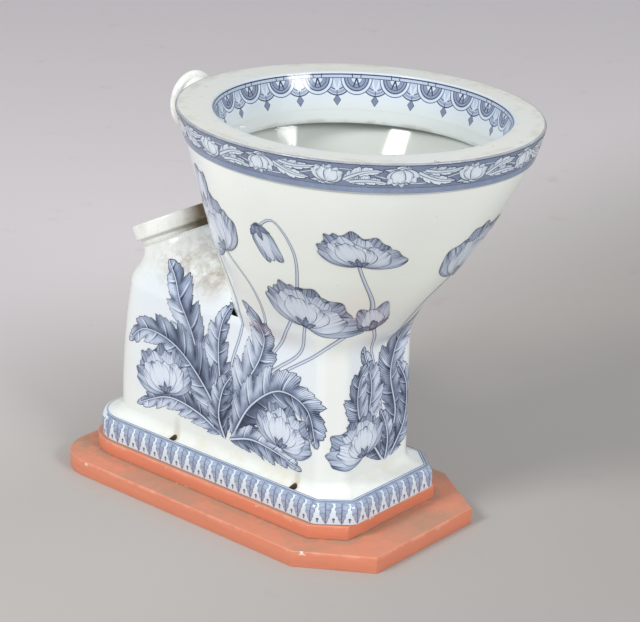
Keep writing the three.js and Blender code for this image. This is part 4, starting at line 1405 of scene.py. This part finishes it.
def rim_lace(material):
    """The strip of fans inside the rim, laid on its inner wall from the edge downwards."""
    around = OPENING_AROUND[-1]
    distances = np.linspace(0, around, RIM_STEPS + 1)
    s, depth = np.meshgrid(distances, np.linspace(0, LACE_DEPTH, 12), indexing="ij")
    angle = turn_at(s, OPENING_AROUND)
    draw = lip_draw(depth / (LIP_DROP - RIM_EDGE)) + 0.25
    half, length, middle = OPENING
    x = (half - draw) * np.cos(angle)
    grid = np.stack([x, middle + (length - draw) * np.sin(angle), RIM_TOP - RIM_EDGE - depth], -1)
    motif = Motif(grid, s, depth, np.minimum(depth, LACE_DEPTH - depth), s, 0.0, s / around)
    border_piece("rim_lace", [motif], lambda flat, lift: flat, material)


# Stage, lights and camera

def facing(back):
    """Right, up and back directions of something whose back points that way and whose right side is level."""
    back = np.array(back) / np.linalg.norm(back)
    right = np.cross([0, 0, 1], back)
    right /= np.linalg.norm(right)
    return right, np.cross(back, right), back


def put(name, data, right, up, back, place):
    """An object that looks away from its back direction, at a place in metres."""
    obj = bpy.data.objects.new(name, data)
    bpy.context.collection.objects.link(obj)
    obj.matrix_world = Matrix(np.vstack([np.column_stack([right, up, back, place]), [0, 0, 0, 1]]).tolist())
    return obj


def make_stage():
    """A large level sheet of paper under the pan."""
    corners = [(x * FLOOR_SIZE, y * FLOOR_SIZE, 0) for x, y in ((-1, -1), (1, -1), (1, 1), (-1, 1))]
    mesh = bpy.data.meshes.new("floor")
    mesh.from_pydata(corners, [], [(0, 1, 2, 3)])
    mesh.materials.append(backdrop_finish())
    floor = bpy.data.objects.new("floor", mesh)
    bpy.context.collection.objects.link(floor)


# Lamps: name, place and size in metres, and power in watts.
LAMPS = (
    ("softbox_left", (-2.56, 0.42, 2.15), (0.8, 1.0), 60),
    ("softbox_front", (-0.32, -2.66, 1.66), (1.0, 0.8), 42),
)
SKY_STRENGTH = 0.54


def softbox(name, place, size, power):
    """A rectangular lamp at a place in metres, turned to face the pan."""
    lamp = bpy.data.lights.new(name, "AREA")
    lamp.shape = "RECTANGLE"
    lamp.size, lamp.size_y = size
    lamp.energy = power
    put(name, lamp, *facing(np.array(place) - LAMP_AIM), place)


def make_lights():
    """Two soft lamps and an even pale surrounding."""
    for lamp in LAMPS:
        softbox(*lamp)
    world = bpy.data.worlds.new("studio")
    world.use_nodes = True
    background = world.node_tree.nodes["Background"]
    background.inputs["Color"].default_value = paint(238, 240, 244)
    background.inputs["Strength"].default_value = SKY_STRENGTH
    bpy.context.scene.world = world


def make_camera():
    """The photograph's camera: a long lens that looks down a little, rolled and shifted."""
    level, rise, back = facing(CAMERA_BACK)
    roll = np.radians(CAMERA_ROLL)
    right = level * np.cos(roll) + rise * np.sin(roll)
    up = rise * np.cos(roll) - level * np.sin(roll)
    camera = bpy.data.cameras.new("camera")
    camera.sensor_width = SENSOR_WIDTH
    camera.lens = FOCAL_LENGTH
    camera.shift_x = CAMERA_SHIFT_X
    camera.clip_end = 50
    bpy.context.scene.camera = put("camera", camera, right, up, back, np.array(CAMERA_PLACE) * MM)


def dress_node(name, material):
    """Gives a carried-over node its finish."""
    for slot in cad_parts[name].material_slots:
        slot.material = material


make_camera()
make_stage()
make_lights()

terracotta = terracotta_finish()
# The second paint is warmer and brighter than the first: the brightness is painted light on the cone.
glaze = glaze_finish("glaze_white", paint(235, 239, 235), paint(248, 253, 247), outer_marks_and_shade)
stained = stained_finish()
board("plinth_lower_board", LOWER_BOARD, 0, LOWER_TOP, terracotta)
board("plinth_upper_board", UPPER_BOARD, LOWER_TOP + BOARD_GAP, UPPER_TOP, terracotta)
pan_body(glaze)
# The bowl's inside is the same glaze painted darker grey: painted shade.
bowl_lining(glaze_finish("glaze_inside_shaded", paint(214, 218, 216), paint(209, 213, 207)))
flushing_rim(rim_finish())
vent_collar(stained)
inlet_horn(stained)
dress_node("trap", mottled_finish("ware_inner", 20, (206, 200, 184), (180, 170, 150), 0.4))

inks = leaf_ink("ink_leaves"), petal_ink("ink_petals"), stem_ink("ink_stems")
lay_spray("left", side_spray(), on_left, inks)
lay_spray("right", side_spray(), on_right, inks)
lay_spray("front", front_spray(), on_front, inks)
ground = ground_ink("ink_ground")
border_inks = (
    leaf_ink("ink_border_leaves", WHITE_STOPS, 1.2), petal_ink("ink_border_flowers", WHITE_STOPS, 1.1),
    stem_ink("ink_border_stems", WHITE_STOPS), ground, ground_ink("ink_stripe", STRIPE_STOPS),
)
rim_border(border_inks)
foot_border(tip_ink(), inks[1], ground)
rim_lace(lace_ink())

screw = mottled_finish("screw_steel", 200, (150, 148, 144), (110, 100, 88), 0.45, Metallic=1.0)
for node_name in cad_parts:
    if node_name.startswith("plinth_screw"):
        dress_node(node_name, screw)

bpy.context.scene.view_settings.view_transform = "Standard"
